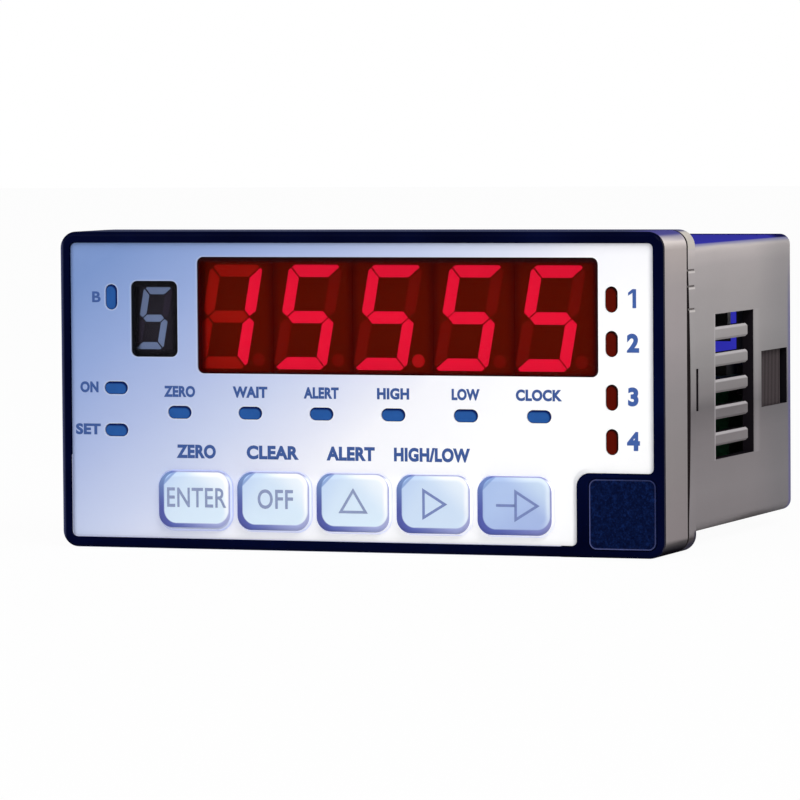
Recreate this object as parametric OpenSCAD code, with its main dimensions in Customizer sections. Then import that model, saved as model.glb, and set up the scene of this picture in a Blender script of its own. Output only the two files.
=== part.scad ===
// Digital panel meter for a 1/8 DIN cut-out: a 96 x 48 mm bezel on a short tub case.
// Origin: middle of the flange's rear face, where the panel stops. +X right, +Y into the panel, +Z up.

/* [Bezel] */
// Width of the bezel
bezel_w = 96; // [90:0.5:110]
// Height of the bezel
bezel_h = 48; // [46:0.5:60]
// Distance from the fascia's front to the panel
bezel_depth = 16; // [14.5:0.5:22]
// Radius of the bezel's corners
bezel_corner_r = 2.5; // [2.25:0.25:6]
// Radius of the fascia's front edge
bezel_edge_r = 0.7; // [0.2:0.1:0.7]
// Thickness of the fascia's full-size rim
rim_t = 0.8; // [0.8:0.1:1.2]
// Thickness of the fascia plate behind the label
plate_t = 1.5; // [1:0.1:2.5]
// Wall of the front frame
frame_wall = 2; // [1.6:0.1:2.6]
// Gap between the fascia and the frame's inner wall
frame_fit = 0.15; // [0.05:0.05:0.3]

/* [Label] */
// Width of the rim that shows beside the label
border_w = 1.7; // [1.2:0.1:2.5]
// Thickness of the label
label_t = 0.3; // [0.2:0.05:0.5]
// How far the label lies behind the rim's front
label_recess = 0.4; // [0.2:0.05:0.5]
// Radius of the label's corners
label_corner_r = 0.8; // [0.4:0.1:2]
// Gap round the label
label_gap = 0.1; // [0.05:0.05:0.2]

/* [Corner block] */
// Width of the raised block in the lower right corner
block_w = 13.6; // [12.6:0.1:15]
// Height of the block
block_h = 12.5; // [11.5:0.1:13.5]
// Radius of the block's free corner
block_r = 2; // [1:0.1:3]
// Margin between the block's left edge and its insert
insert_margin = 2; // [1:0.1:3]
// Margin between the bezel's outer edge and the insert
insert_rim = 1.2; // [1:0.1:2]
// Thickness of the insert
insert_t = 0.5; // [0.4:0.05:0.6]
// How far the insert stands out
insert_proud = 0.12; // [0.05:0.01:0.3]
// Radius of the insert's corners
insert_r = 1.2; // [0.6:0.1:2]

/* [Main display] */
// Width of one digit module
digit_w = 12.8; // [11.5:0.1:13.2]
// Height of one digit module
digit_h = 18.6; // [17.6:0.1:19.4]
// Gap between two digit modules
digit_gap = 0.1; // [0.05:0.05:0.3]
// Centre of the main window along the bezel
display_x = 6.1; // [3:0.1:8]
// Distance from that centre to the middle of the row of modules
row_shift = -1.3; // [-1.5:0.1:0]
// How much longer the row of modules is than the main window
row_hidden = 0.7; // [0:0.1:1]
// Height of the main window
window_h = 17.4; // [16.6:0.1:18.4]
// Distance from the bezel's top to the main window
window_top = 3.9; // [3:0.1:4.8]
// Radius of the windows' corners
window_r = 0.9; // [0.4:0.1:2]
// Thickness of a window's rear flange
window_flange_t = 0.8; // [0.5:0.1:1.2]
// How far a window's rear flange reaches past its opening
window_flange = 0.8; // [0.5:0.1:1]
// How far the windows lie behind the label's front
window_recess = 0.15; // [0.05:0.05:0.25]
// Gap round a window
window_gap = 0.1; // [0.05:0.05:0.2]

/* [Characters] */
// Width of a main character
char_w = 8.5; // [6:0.1:9]
// Height of a main character
char_h = 15.7; // [12:0.1:16]
// Width of a main segment
char_stroke = 1.8; // [1:0.1:2.2]
// Distance from a module's centre to its character's centre
char_shift = -0.8; // [-1.5:0.1:0]
// Radius of the decimal point
point_r = 1; // [0.5:0.1:1.2]
// Slant of the characters
char_slant = 10; // [0:1:12]
// Gap between two segments
segment_gap = 0.25; // [0.1:0.05:0.4]
// Depth of the segment pockets
segment_t = 0.3; // [0.2:0.05:0.6]

/* [Small display] */
// Width of the small window
small_window_w = 7.4; // [6.5:0.1:8]
// Height of the small window
small_window_h = 11.3; // [10:0.1:12.5]
// Distance from the bezel's top to the small window
small_window_top = 7.55; // [6:0.05:8]
// Gap between the two windows' openings
small_window_space = 3.4; // [2.5:0.1:4]
// Distance from the small window's centre to its module
small_shift = -1.2; // [-1.4:0.1:0]
// Width of the small character
small_char_w = 4.7; // [3.5:0.1:5]
// Height of the small character
small_char_h = 9.4; // [7:0.1:9.8]
// Width of a small segment
small_char_stroke = 1.05; // [0.6:0.05:1.2]

/* [Light pipes] */
// Length of a light pipe's face
pipe_l = 3.7; // [3:0.1:4]
// Width of a light pipe's face
pipe_w = 1.8; // [1.4:0.1:2]
// Gap round a light pipe
pipe_gap = 0.08; // [0.04:0.02:0.15]
// How far the light pipes lie behind the label's front
pipe_recess = 0.2; // [0.05:0.05:0.25]
// Thickness of the strip that joins a bar's pipes
bar_t = 0.8; // [0.5:0.1:1.2]
// Number of function pipes under the display
function_count = 6; // [2:1:6]
// Distance between two function pipes
function_pitch = 11.45; // [9:0.05:12]
// Distance from the main window down to the function pipes' centres
function_drop = 6; // [5:0.1:7]
// Distance from the small window down to the upper mode pipe's centre
mode_drop = 4.85; // [4:0.05:6]
// Distance between the two mode pipes
mode_pitch = 6.4; // [5:0.1:7]
// Distance from the bezel's top to the upright pipe's centre
axis_top = 9.9; // [8:0.1:11]
// Gap between the small window and the mode pipes
mode_space = 0.8; // [0.7:0.1:1.2]
// Distance from the bezel's top to the first output pipe's centre
output_top = 9.95; // [9:0.05:11]
// Height of the last output pipe's centre above the corner block
output_rise = 4.6; // [3:0.1:6]
// How much further the lower pair of output pipes lies from the upper pair
output_break = 1.35; // [0:0.05:2]
// Gap between the main window and the output pipes
output_space = 1.25; // [1.1:0.05:1.6]
// Length of an indicator chip
led_l = 3; // [2:0.1:3.2]
// Width of an indicator chip
led_w = 1.5; // [1:0.1:1.6]
// Thickness of an indicator chip
led_t = 1.1; // [0.6:0.1:1.5]

/* [Keys] */
// Width of a key
key_w = 11.9; // [10:0.1:12.1]
// Height of a key
key_h = 8.9; // [7.5:0.1:9]
// Distance between two keys
key_pitch = 12.75; // [12.55:0.05:13]
// Middle of the row of keys
key_row_x = -0.6; // [-1.5:0.1:0.5]
// Distance from the bezel's bottom to the keys
key_bottom = 2.95; // [2.85:0.05:3.5]
// Radius of a key's corners
key_corner_r = 2.4; // [1.5:0.1:3]
// Radius of a key's front edge
key_edge_r = 0.9; // [0.3:0.1:1]
// How far a key stands out of the label
key_proud = 1; // [0.8:0.1:1.5]
// How far a key travels
key_travel = 0.5; // [0.2:0.05:0.6]
// Gap round a key
key_gap = 0.15; // [0.1:0.05:0.2]
// How far a key's lip reaches past its opening
key_lip = 0.6; // [0.4:0.05:0.65]
// Thickness of a key's lip
key_lip_t = 0.8; // [0.6:0.1:1]
// Gap between a resting key's lip and the plate
key_rest = 0.05; // [0.02:0.01:0.1]
// Radius of a key's stem
stem_r = 1.6; // [1.2:0.1:2]
// Width of a key switch
switch_w = 6.2; // [5.5:0.1:7]
// Thickness of a key switch
switch_t = 3.5; // [2.8:0.1:4]
// Radius of a switch's plunger
plunger_r = 1.7; // [1.2:0.05:2]
// Gap round a plunger
plunger_gap = 0.08; // [0.03:0.01:0.1]
// How far a plunger stands out of its switch
plunger_out = 0.9; // [0.75:0.05:1.2]
// How deep a plunger reaches into its switch
plunger_in = 1.4; // [1:0.1:1.6]

/* [Case] */
// How far the bezel reaches past the case at each side
side_overlap = 2.4; // [2.1:0.05:3.7]
// How far the bezel reaches past the case at its top and bottom
top_overlap = 2; // [1.7:0.05:3]
// Depth of the case behind the panel
case_depth = 60.9; // [58:0.1:90]
// Wall of the case
case_wall = 1.8; // [1.5:0.1:2.2]
// Rear wall of the case
rear_wall = 2.2; // [1.6:0.1:3]
// Radius of the case's long edges
case_corner_r = 1.6; // [1.3:0.1:3.5]
// Radius of the case's rear edges
case_edge_r = 1; // [0.6:0.1:1.2]
// Thickness of the case's flange
flange_t = 3.7; // [3:0.1:4.5]
// Depth of the relief in the flange's front edge at each side
seam_bow = 1.1; // [0.5:0.1:1.5]
// Height of that relief
seam_bow_h = 38; // [30:1:40]
// Distances from the bezel's top to the three witness grooves on the flange
groove_drop = [6, 8.4, 11.8];
// Width and depth of a witness groove
groove_s = 0.25; // [0.1:0.05:0.4]
// Thickness of the seal between the frame and the flange
seal_t = 0.5; // [0.3:0.1:0.8]
// How far that seal lies inside the bezel's outline
seal_inset = 0.6; // [0.3:0.1:1]
// Thickness of the gasket that meets the panel
gasket_t = 0.8; // [0.4:0.1:1]
// How far the gasket lies inside the flange's outline
gasket_inset = 0.4; // [0.3:0.1:0.8]
// Gap between the gasket and the case
gasket_gap = 0.1; // [0.05:0.05:0.3]

/* [Side openings] */
// Distance from the panel to the vent
vent_y = 18.4; // [17.5:0.1:22]
// Length of the vent
vent_l = 20.8; // [16:0.1:21]
// Height of the vent
vent_h = 22.2; // [18:0.1:24]
// Height of the vent's centre
vent_z = -0.4; // [-2:0.1:2]
// Number of slats in the vent
slat_count = 5; // [3:1:7]
// Width of the chamfers along the slats
slat_chamfer = 0.35; // [0.1:0.05:0.5]
// Gap behind the slats' free ends
slat_end = 3.4; // [2:0.1:5]
// Distance from the panel to the latch slit's centre
slit_y = 8.9; // [7.5:0.1:10]
// Width of the latch slit
slit_w = 1.2; // [1:0.05:1.8]
// Height of the latch slit
slit_h = 6.4; // [5:0.1:8]
// Distance from the panel to the ratchet recess
ratchet_y = 43.5; // [42:0.1:44]
// Length of the ratchet recess
ratchet_l = 14.6; // [10:0.1:14.8]
// Height of the ratchet recess
ratchet_h = 8.8; // [6:0.1:12]
// Depth of the ratchet recess
ratchet_depth = 1.1; // [0.8:0.05:1.2]
// Number of ratchet teeth
tooth_count = 15; // [8:1:18]
// Distance between two ratchet teeth
tooth_pitch = 0.8; // [0.5:0.05:0.8]
// Height of a ratchet tooth
tooth_h = 0.6; // [0.3:0.05:0.7]

/* [Latches] */
// Thickness of the frame's latch arms
arm_t = 1.2; // [0.8:0.1:1.6]
// Gap between a latch arm and the case
arm_gap = 0.2; // [0.1:0.05:0.4]
// Gap round a latch's nose in its slit
nose_gap = 0.15; // [0.1:0.05:0.3]
// How far a latch's nose stays below the case's surface
nose_sink = 0.5; // [0.3:0.1:0.8]
// Thickness of the tab that carries a latch arm
tab_t = 1; // [0.8:0.1:1.2]

/* [Boards] */
// Thickness of the circuit boards
pcb_t = 1.6; // [1.2:0.1:2]
// Gap between the display board and the frame
board_gap = 0.5; // [0.3:0.1:0.8]
// Height of the main board's upper face above the case's floor
main_rise = 3.6; // [3.2:0.1:4]
// Distance between the upper faces of the main board and the power board
board_space = 17; // [16.8:0.1:17.2]
// Distance from the display board to the horizontal boards
board_step = 2.3; // [1.5:0.1:3]
// Gap between the horizontal boards and the case
board_side = 0.5; // [0.3:0.1:0.8]
// Depth of the guide rails in the case
rail_depth = 1.5; // [1.2:0.1:2]
// Thickness of a guide rail
rail_t = 1.4; // [1:0.1:1.8]
// Gap between a rail and its board
rail_gap = 0.1; // [0.05:0.05:0.2]
// Length of the front guide rails
front_rail_l = 3.4; // [2:0.1:3.4]
// Distance from a boss to the frame's side wall
boss_inset_x = 3.2; // [2.8:0.1:3.8]
// Distance from a boss to the frame's top or bottom wall
boss_inset_z = 2.6; // [2.5:0.1:3]
// Radius of a fascia boss
boss_r = 2.2; // [1.8:0.1:2.3]
// Radius of a screw's shank
screw_r = 1.1; // [0.9:0.05:1.3]
// Radius of a screw's head
screw_head_r = 2; // [1.6:0.1:2.2]
// Thickness of a screw's head
screw_head_t = 1.3; // [0.8:0.1:1.3]
// Length of a screw's shank
screw_l = 6.5; // [4:0.1:7.5]
// Gap round a screw's shank
screw_gap = 0.06; // [0.03:0.01:0.1]
// Number of pins in a board header
link_pins = 12; // [6:1:20]
// Distance between two header pins
link_pitch = 2.54; // [2:0.01:2.54]
// How far a header reaches over its board
link_reach = 3; // [2:0.1:5]

/* [Components] */
// Length of the transformer along the power board's side
core_l = 13.8; // [10:0.1:16]
// Depth of the transformer
core_d = 8.9; // [7:0.1:9]
// Height of the transformer
core_h = 13.6; // [12:0.1:16]
// Height of the window in the transformer's core
core_window = 4.4; // [4:0.1:5]
// Thickness of the core's lower limb
core_limb = 3.4; // [2.5:0.1:4]
// Thickness of the bobbin's end flange
bobbin_flange = 1; // [0.6:0.1:1.5]
// Thickness of the insulating strip beside the core
tape_t = 0.5; // [0.3:0.05:0.6]
// Radius of a smoothing capacitor
capacitor_r = 4; // [3:0.1:5]
// Height of a smoothing capacitor
capacitor_h = 14; // [10:0.5:16]
// Distance between the two capacitors
capacitor_pitch = 10.5; // [10.4:0.1:12]
// Gap between the transformer and the first capacitor
capacitor_gap = 5; // [2:0.1:8]
// Height of the rolled groove above a capacitor's foot
can_groove_z = 2; // [1.6:0.1:3]
// Depth of that groove
can_groove = 0.5; // [0.3:0.05:0.7]
// Width of a capacitor's bevels
can_bevel = 0.4; // [0.2:0.05:0.6]
// Width of a relay
relay_w = 10; // [8:0.1:10.5]
// Depth of a relay
relay_d = 15; // [12:0.5:17]
// Height of a relay
relay_h = 12; // [10:0.5:16]
// Distance between two relays
relay_pitch = 11.5; // [11:0.1:13]
// Distance from the power board's left edge to the first relay
relay_inset = 3.5; // [2:0.1:4]
// Gap between the relays and the upper terminal block
relay_gap = 3; // [1:0.1:5]
// Width of the processor
processor_w = 12; // [8:0.5:16]
// Thickness of the processor
processor_t = 1.4; // [1:0.1:2]
// Number of leads on each side of the processor
lead_count = 8; // [4:1:12]

/* [Terminals] */
// Number of terminals in a block
terminal_count = 15; // [8:1:16]
// Distance between two terminals
terminal_pitch = 5.08; // [5:0.01:5.08]
// Height of a terminal block
terminal_h = 14.6; // [13:0.1:14.8]
// How far the terminal blocks stand out of the case
terminal_out = 6; // [3:0.5:9]
// Depth of the block on its board
terminal_seat = 11; // [8:0.5:11.5]
// End wall of a terminal block
terminal_end = 1; // [0.6:0.1:2]
// Gap between a terminal block and the case
terminal_gap = 0.15; // [0.1:0.05:0.3]
// Width and height of a wire entry
entry_s = 2.9; // [2.5:0.1:3.4]
// Depth of a wire entry
entry_depth = 9; // [7:0.5:10]
// Height of the wire entries above the board
entry_z = 3.8; // [3.4:0.1:4.4]
// Radius of a screw well
well_r = 1.75; // [1.6:0.05:1.9]
// Height of the screw wells above the board
well_z = 10.8; // [10.2:0.1:11]
// Depth of a screw well
well_depth = 8; // [6:0.5:9]
// Step between the wire entries' face and the screws' face
terminal_step = 2; // [1:0.1:2.5]
// Gap between a terminal screw and its well
well_gap = 0.12; // [0.05:0.01:0.2]
// Length of a terminal screw
terminal_screw_l = 6.5; // [4:0.1:7]
// Wall of a wire clamp
clamp_t = 0.4; // [0.3:0.05:0.6]
// Depth of a wire clamp
clamp_l = 5; // [3:0.1:6]

/* [Hidden] */
$fn = 48;
key_count = 5;
digit_count = 5;
EPS = 0.5; // how far a cutter runs past the face it opens
THIN = 0.5; // width of a driver slot

// planes from front to back
front_y = -bezel_depth;
rim_back_y = front_y + rim_t;
label_front_y = front_y + label_recess;
plate_front_y = label_front_y + label_t;
plate_back_y = plate_front_y + plate_t;
window_front_y = label_front_y + window_recess;
window_back_y = plate_back_y + window_flange_t;
frame_back_y = -flange_t - seal_t;
tab_front_y = frame_back_y - tab_t;
board_back_y = tab_front_y - 0.1;
board_front_y = board_back_y - pcb_t;
digit_front_y = window_back_y + 0.1;
rear_y = case_depth - rear_wall;

// frame and display board
frame_in_w = bezel_w - 2 * frame_wall;
frame_in_h = bezel_h - 2 * frame_wall;
frame_in_r = max(bezel_corner_r - frame_wall, 0.3);
board_w = frame_in_w - 2 * board_gap;
board_h = frame_in_h - 2 * board_gap;
boss_x = frame_in_w / 2 - boss_inset_x;
boss_z = frame_in_h / 2 - boss_inset_z;
boss_hole_r = screw_r + screw_gap;
boss_hole_l = screw_l - pcb_t + 0.4;

// label and corner block
label_w = bezel_w - 2 * border_w;
label_h = bezel_h - 2 * border_w;
block_x = bezel_w / 2 - block_w;
block_z = block_h - bezel_h / 2;
insert_w = block_w - insert_margin - insert_rim;
insert_h = block_h - insert_margin * 0.4 - insert_rim;
insert_x = block_x + insert_margin + insert_w / 2;
insert_z = insert_rim - bezel_h / 2 + insert_h / 2;

// windows
window_w = digit_count * digit_w - row_hidden;
display_z = bezel_h / 2 - window_top - window_h / 2;
small_window_x = display_x - window_w / 2 - small_window_space - small_window_w / 2;
small_window_z = bezel_h / 2 - small_window_top - small_window_h / 2;
small_digit_x = small_window_x + small_shift;

// light pipes
mode_x = small_window_x - small_window_w / 2 - mode_space - pipe_l / 2;
axis_x = mode_x - 0.65;
axis_z = bezel_h / 2 - axis_top;
mode_upper_z = small_window_z - small_window_h / 2 - mode_drop;
mode_z = [mode_upper_z, mode_upper_z - mode_pitch];
function_z = display_z - window_h / 2 - function_drop;
output_x = display_x + window_w / 2 + output_space + pipe_w / 2;
output_upper_z = bezel_h / 2 - output_top;
output_pitch = (output_upper_z - block_z - output_rise - output_break) / 3;
output_z = [for (i = [0:3]) output_upper_z - i * output_pitch - (i > 1 ? output_break : 0)];
pipe_front_y = label_front_y + pipe_recess;
pipe_back_y = board_front_y - led_t - 0.1;
bar_back_y = plate_back_y + bar_t;

// keys
key_z = key_bottom + key_h / 2 - bezel_h / 2;
key_front_y = label_front_y - key_proud;
key_lip_y = plate_back_y + key_rest;
key_lip_back_y = key_lip_y + key_lip_t;
switch_front_y = board_front_y - switch_t;
plunger_front_y = switch_front_y - plunger_out;

// case
case_w = bezel_w - 2 * side_overlap;
case_h = bezel_h - 2 * top_overlap;
cavity_w = case_w - 2 * case_wall;
cavity_h = case_h - 2 * case_wall;
cavity_r = max(case_corner_r - case_wall, 0.6);
slit_z = vent_z;
slat_h = vent_h / (2 * slat_count + 1);
bow_r = (pow(seam_bow_h / 2, 2) + pow(seam_bow, 2)) / (2 * seam_bow);

// horizontal boards
main_z = main_rise - cavity_h / 2;
power_z = main_z + board_space;
inner_board_w = cavity_w - 2 * board_side;
inner_board_y = board_back_y + board_step;
inner_board_end = rear_y - 0.5;
neck_w = cavity_w - 2 * (arm_gap + arm_t) - 0.8;
neck_y = slit_y + slit_w + 1.9;
rear_rail_y = vent_y + vent_l + 1.8;
rear_rail_l = inner_board_end - rear_rail_y - 2;

// components
terminal_w = terminal_count * terminal_pitch + 2 * terminal_end;
terminal_front_y = inner_board_end - terminal_seat;
terminal_back_y = case_depth + terminal_out;
terminal_screw_y = terminal_back_y - terminal_step - 0.8;
core_y = terminal_front_y - 0.8 - core_d;
bobbin_x = inner_board_w / 2 + 0.1;
core_x = bobbin_x - bobbin_flange - tape_t - 0.2;
relay_y = terminal_front_y - relay_gap - relay_d;
relay_x = -inner_board_w / 2 + relay_inset + relay_w / 2;
capacitor_x = core_x - core_l - capacitor_gap - capacitor_r;
capacitor_y = vent_y - 1;

function key_x(i) = key_row_x + (i - (key_count + 1) / 2) * key_pitch;
function digit_x(i) = display_x + row_shift + (i - (digit_count + 1) / 2) * digit_w;
function function_x(i) = (i - (function_count - 1) / 2) * function_pitch;
function terminal_x(i) = (i - (terminal_count - 1) / 2) * terminal_pitch;

// ---- outlines and basic forms ----

// Rounded rectangle about the origin
module rounded_rect(w, h, r) {
    square([w - 2 * r, h], center = true);
    square([w, h - 2 * r], center = true);
    for (sx = [-1, 1], sy = [-1, 1])
        translate([sx * (w / 2 - r), sy * (h / 2 - r)]) circle(r);
}

// Slot with round ends, lying or upright
module slot(l, w) {
    square([l - w, w], center = true);
    for (s = [-1, 1]) translate([s * (l - w) / 2, 0]) circle(w / 2);
}

// Stands an X-Z outline between two planes that face the front
module between(y0, y1) {
    translate([0, y1, 0]) rotate([90, 0, 0]) linear_extrude(y1 - y0) children();
}

// Section through the rim of a slab whose upper edge is rounded
module rim_section(r, t, e) {
    square([r, t - e]);
    square([r - e, t]);
    translate([r - e, t - e]) intersection() {
        circle(e);
        square(e);
    }
}

// Slab of w x h x t with corner radius r and its upper edge rounded by e
module soft_slab(w, h, r, t, e) {
    flat_w = w - 2 * r;
    flat_h = h - 2 * r;
    translate([-flat_w / 2, -flat_h / 2, 0]) cube([flat_w, flat_h, t]);
    for (s = [0, 180]) rotate([0, 0, s]) {
        translate([-flat_w / 2, flat_h / 2, 0])
            rotate([90, 0, 90]) linear_extrude(flat_w) rim_section(r, t, e);
        translate([flat_w / 2, flat_h / 2, 0])
            rotate([90, 0, 0]) linear_extrude(flat_h) rim_section(r, t, e);
        translate([flat_w / 2, flat_h / 2, 0])
            rotate_extrude(angle = 90) rim_section(r, t, e);
        translate([-flat_w / 2, flat_h / 2, 0])
            rotate([0, 0, 90]) rotate_extrude(angle = 90) rim_section(r, t, e);
    }
}

// Cylinder along +Y from y0 to y1
module rod(x, z, y0, y1, r) {
    translate([x, y0, z]) rotate([-90, 0, 0]) cylinder(h = y1 - y0, r = r);
}

// ---- front ----

// Outline of the label: full width above the corner block, narrower beside it
module label_outline(grow) {
    upper_h = label_h / 2 - block_z;
    left_w = label_w / 2 + block_x;
    corner = block_r - grow;
    translate([0, block_z + upper_h / 2])
        rounded_rect(label_w + 2 * grow, upper_h + 2 * grow, label_corner_r + grow);
    translate([block_x - left_w / 2, 0])
        rounded_rect(left_w + 2 * grow, label_h + 2 * grow, label_corner_r + grow);
    translate([block_x + grow, block_z - grow]) difference() {
        translate([-EPS, -corner]) square([corner + EPS, corner + EPS]);
        translate([corner, -corner]) circle(corner);
    }
}

module window_outline(grow) {
    translate([display_x, display_z])
        rounded_rect(window_w + 2 * grow, window_h + 2 * grow, window_r + grow);
}

module small_window_outline(grow) {
    translate([small_window_x, small_window_z])
        rounded_rect(small_window_w + 2 * grow, small_window_h + 2 * grow, window_r + grow);
}

module mode_outline(grow) {
    for (z = mode_z) translate([mode_x, z]) slot(pipe_l + 2 * grow, pipe_w + 2 * grow);
    translate([axis_x, axis_z]) rotate(90) slot(pipe_l + 2 * grow, pipe_w + 2 * grow);
}

module function_outline(grow) {
    for (i = [0:function_count - 1])
        translate([function_x(i), function_z]) slot(pipe_l + 2 * grow, pipe_w + 2 * grow);
}

module output_outline(grow) {
    for (z = output_z)
        translate([output_x, z]) rotate(90) slot(pipe_l + 2 * grow, pipe_w + 2 * grow);
}

module key_outline(i, grow) {
    translate([key_x(i), key_z])
        rounded_rect(key_w + 2 * grow, key_h + 2 * grow, key_corner_r + grow);
}

// Every opening that the label and the fascia plate share
module front_openings() {
    window_outline(window_gap);
    small_window_outline(window_gap);
    mode_outline(pipe_gap);
    function_outline(pipe_gap);
    output_outline(pipe_gap);
    for (i = [1:key_count]) key_outline(i, key_gap);
}

module insert_outline(grow) {
    translate([insert_x, insert_z])
        rounded_rect(insert_w + 2 * grow, insert_h + 2 * grow, insert_r + grow);
}

module at_bosses() {
    for (sx = [-1, 1], sz = [-1, 1]) translate([sx * boss_x, 0, sz * boss_z]) children();
}

module fascia() {
    color("midnightblue") difference() {
        union() {
            translate([0, rim_back_y, 0]) rotate([90, 0, 0])
                soft_slab(bezel_w, bezel_h, bezel_corner_r, rim_t, bezel_edge_r);
            between(rim_back_y, plate_back_y)
                rounded_rect(frame_in_w - 2 * frame_fit, frame_in_h - 2 * frame_fit, frame_in_r);
            at_bosses() rod(0, 0, plate_back_y, board_front_y, boss_r);
        }
        between(front_y - EPS, plate_front_y) label_outline(label_gap);
        between(plate_front_y - EPS, plate_back_y + EPS) front_openings();
        between(front_y - EPS, front_y + insert_t) insert_outline(label_gap);
        at_bosses() rod(0, 0, board_front_y - boss_hole_l, board_front_y + EPS, boss_hole_r);
    }
}

module corner_insert() {
    color("navy") translate([insert_x, front_y + insert_t, insert_z]) rotate([90, 0, 0])
        soft_slab(insert_w, insert_h, insert_r, insert_t + insert_proud, insert_proud);
}

module front_label() {
    color("lightsteelblue") between(label_front_y, plate_front_y) difference() {
        label_outline(0);
        front_openings();
    }
}

module main_window() {
    color("darkred") {
        between(window_front_y, plate_back_y) window_outline(0);
        between(plate_back_y, window_back_y) window_outline(window_flange);
    }
}

module small_window() {
    color("black") {
        between(window_front_y, plate_back_y) small_window_outline(0);
        between(plate_back_y, window_back_y) small_window_outline(window_flange);
    }
}

// Strip behind the fascia plate that joins the pipes of one bar
module bar_strip(x0, x1, z0, z1) {
    translate([x0, plate_back_y, z0]) cube([x1 - x0, bar_t, z1 - z0]);
}

module mode_light_bar() {
    color("royalblue") {
        between(pipe_front_y, pipe_back_y) mode_outline(0);
        bar_strip(
            mode_x - pipe_l / 2 - 0.5, mode_x + pipe_w / 2,
            min(mode_z) - pipe_w, axis_z + pipe_l / 2 + 0.4
        );
    }
}

module function_light_bar() {
    half_l = function_x(function_count - 1) + pipe_l / 2 + 0.5;
    color("royalblue") {
        between(pipe_front_y, pipe_back_y) function_outline(0);
        bar_strip(-half_l, half_l, function_z - pipe_w / 2, function_z + pipe_w / 2);
    }
}

module output_light_bar() {
    color("maroon") {
        between(pipe_front_y, pipe_back_y) output_outline(0);
        bar_strip(
            output_x - pipe_w / 2, output_x + pipe_w,
            min(output_z) - pipe_l / 2 - 0.4, max(output_z) + pipe_l / 2 + 0.4
        );
    }
}

// ---- keys and their switches ----

module key_cap(i) {
    color("aliceblue") {
        translate([key_x(i), key_lip_y, key_z]) rotate([90, 0, 0])
            soft_slab(key_w, key_h, key_corner_r, key_lip_y - key_front_y, key_edge_r);
        between(key_lip_y, key_lip_back_y) translate([key_x(i), key_z])
            rounded_rect(key_w, key_h + 2 * (key_gap + key_lip), 1);
        rod(key_x(i), key_z, key_lip_back_y, plunger_front_y, stem_r);
    }
}

module plunger(i) {
    color("dimgray")
        rod(key_x(i), key_z, plunger_front_y, switch_front_y + plunger_in, plunger_r);
}

module key_switch(i) {
    bore_l = plunger_in + key_travel + 0.2;
    color("black") difference() {
        between(switch_front_y, board_front_y) translate([key_x(i), key_z])
            rounded_rect(switch_w, switch_w, 0.5);
        rod(key_x(i), key_z, switch_front_y - EPS, switch_front_y + bore_l, plunger_r + plunger_gap);
    }
}

// ---- display ----

function slanted(points) = [for (p = points) [p[0] + p[1] * tan(char_slant), p[1]]];
function flipped(points, sx, sy) = [for (p = points) [p[0] * sx, p[1] * sy]];

// Upper bar: mitred at both ends, its outer corners cut by half a stroke
function bar_points(w, h, s) = let (c = s / 2, q = segment_gap / sqrt(8)) [
    [c - w / 2, h / 2], [w / 2 - c, h / 2], [w / 2 - c / 2 - q, h / 2 - c / 2 + q],
    [w / 2 - s - 2 * q, h / 2 - s], [s + 2 * q - w / 2, h / 2 - s],
    [c / 2 + q - w / 2, h / 2 - c / 2 + q],
];

// Upper right bar: mitred at the corner, pointed at the middle
function side_points(w, h, s) = let (c = s / 2, q = segment_gap / sqrt(8)) [
    [w / 2, h / 2 - c], [w / 2, s / 2], [w / 2 - s / 2, 2 * q], [w / 2 - s, s / 2 + 2 * q],
    [w / 2 - s, h / 2 - s - 2 * q], [w / 2 - c / 2 + q, h / 2 - c / 2 - q],
];

// Middle bar: pointed at both ends
function middle_points(w, s) = let (q = segment_gap / sqrt(8), e = w / 2 - s - 2 * q) [
    [-e, s / 2], [e, s / 2], [e + s / 2, 0], [e, -s / 2], [-e, -s / 2], [-e - s / 2, 0],
];

function segment_outlines(w, h, s) = [
    bar_points(w, h, s), flipped(bar_points(w, h, s), 1, -1), middle_points(w, s),
    for (sx = [-1, 1], sy = [-1, 1]) flipped(side_points(w, h, s), sx, sy),
];

// The seven segments of a character about its centre
module character(w, h, s) {
    for (points = segment_outlines(w, h, s)) polygon(slanted(points));
}

// A main character and its decimal point
module main_character(i) {
    point = [char_w / 2 + 1.7, 1.4 - char_h / 2];
    translate([digit_x(i) + char_shift, display_z - 0.3]) {
        character(char_w, char_h, char_stroke);
        translate(slanted([point])[0]) circle(point_r);
    }
}

module small_character() {
    translate([small_digit_x, small_window_z])
        character(small_char_w, small_char_h, small_char_stroke);
}

module digit_housing(i) {
    color("#2a0806") difference() {
        between(digit_front_y, board_front_y) translate([digit_x(i), display_z])
            square([digit_w - digit_gap, digit_h], center = true);
        between(digit_front_y - EPS, digit_front_y + segment_t) main_character(i);
    }
}

module digit_segments(i) {
    color("red") between(digit_front_y, digit_front_y + segment_t) main_character(i);
}

module small_digit() {
    color("#1c1a20") difference() {
        between(digit_front_y, board_front_y) translate([small_digit_x, small_window_z])
            square([small_window_w - 0.2, small_window_h - 0.2], center = true);
        between(digit_front_y - EPS, digit_front_y + segment_t) small_character();
    }
}

module small_segments() {
    color("slategray") between(digit_front_y, digit_front_y + segment_t) small_character();
}

module status_leds() {
    flat = [led_l, led_w];
    upright = [led_w, led_l];
    color("white") between(board_front_y - led_t, board_front_y) {
        for (z = mode_z) translate([mode_x, z]) square(flat, center = true);
        translate([axis_x, axis_z]) square(upright, center = true);
        for (i = [0:function_count - 1])
            translate([function_x(i), function_z]) square(flat, center = true);
        for (z = output_z) translate([output_x, z]) square(upright, center = true);
    }
}

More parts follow.
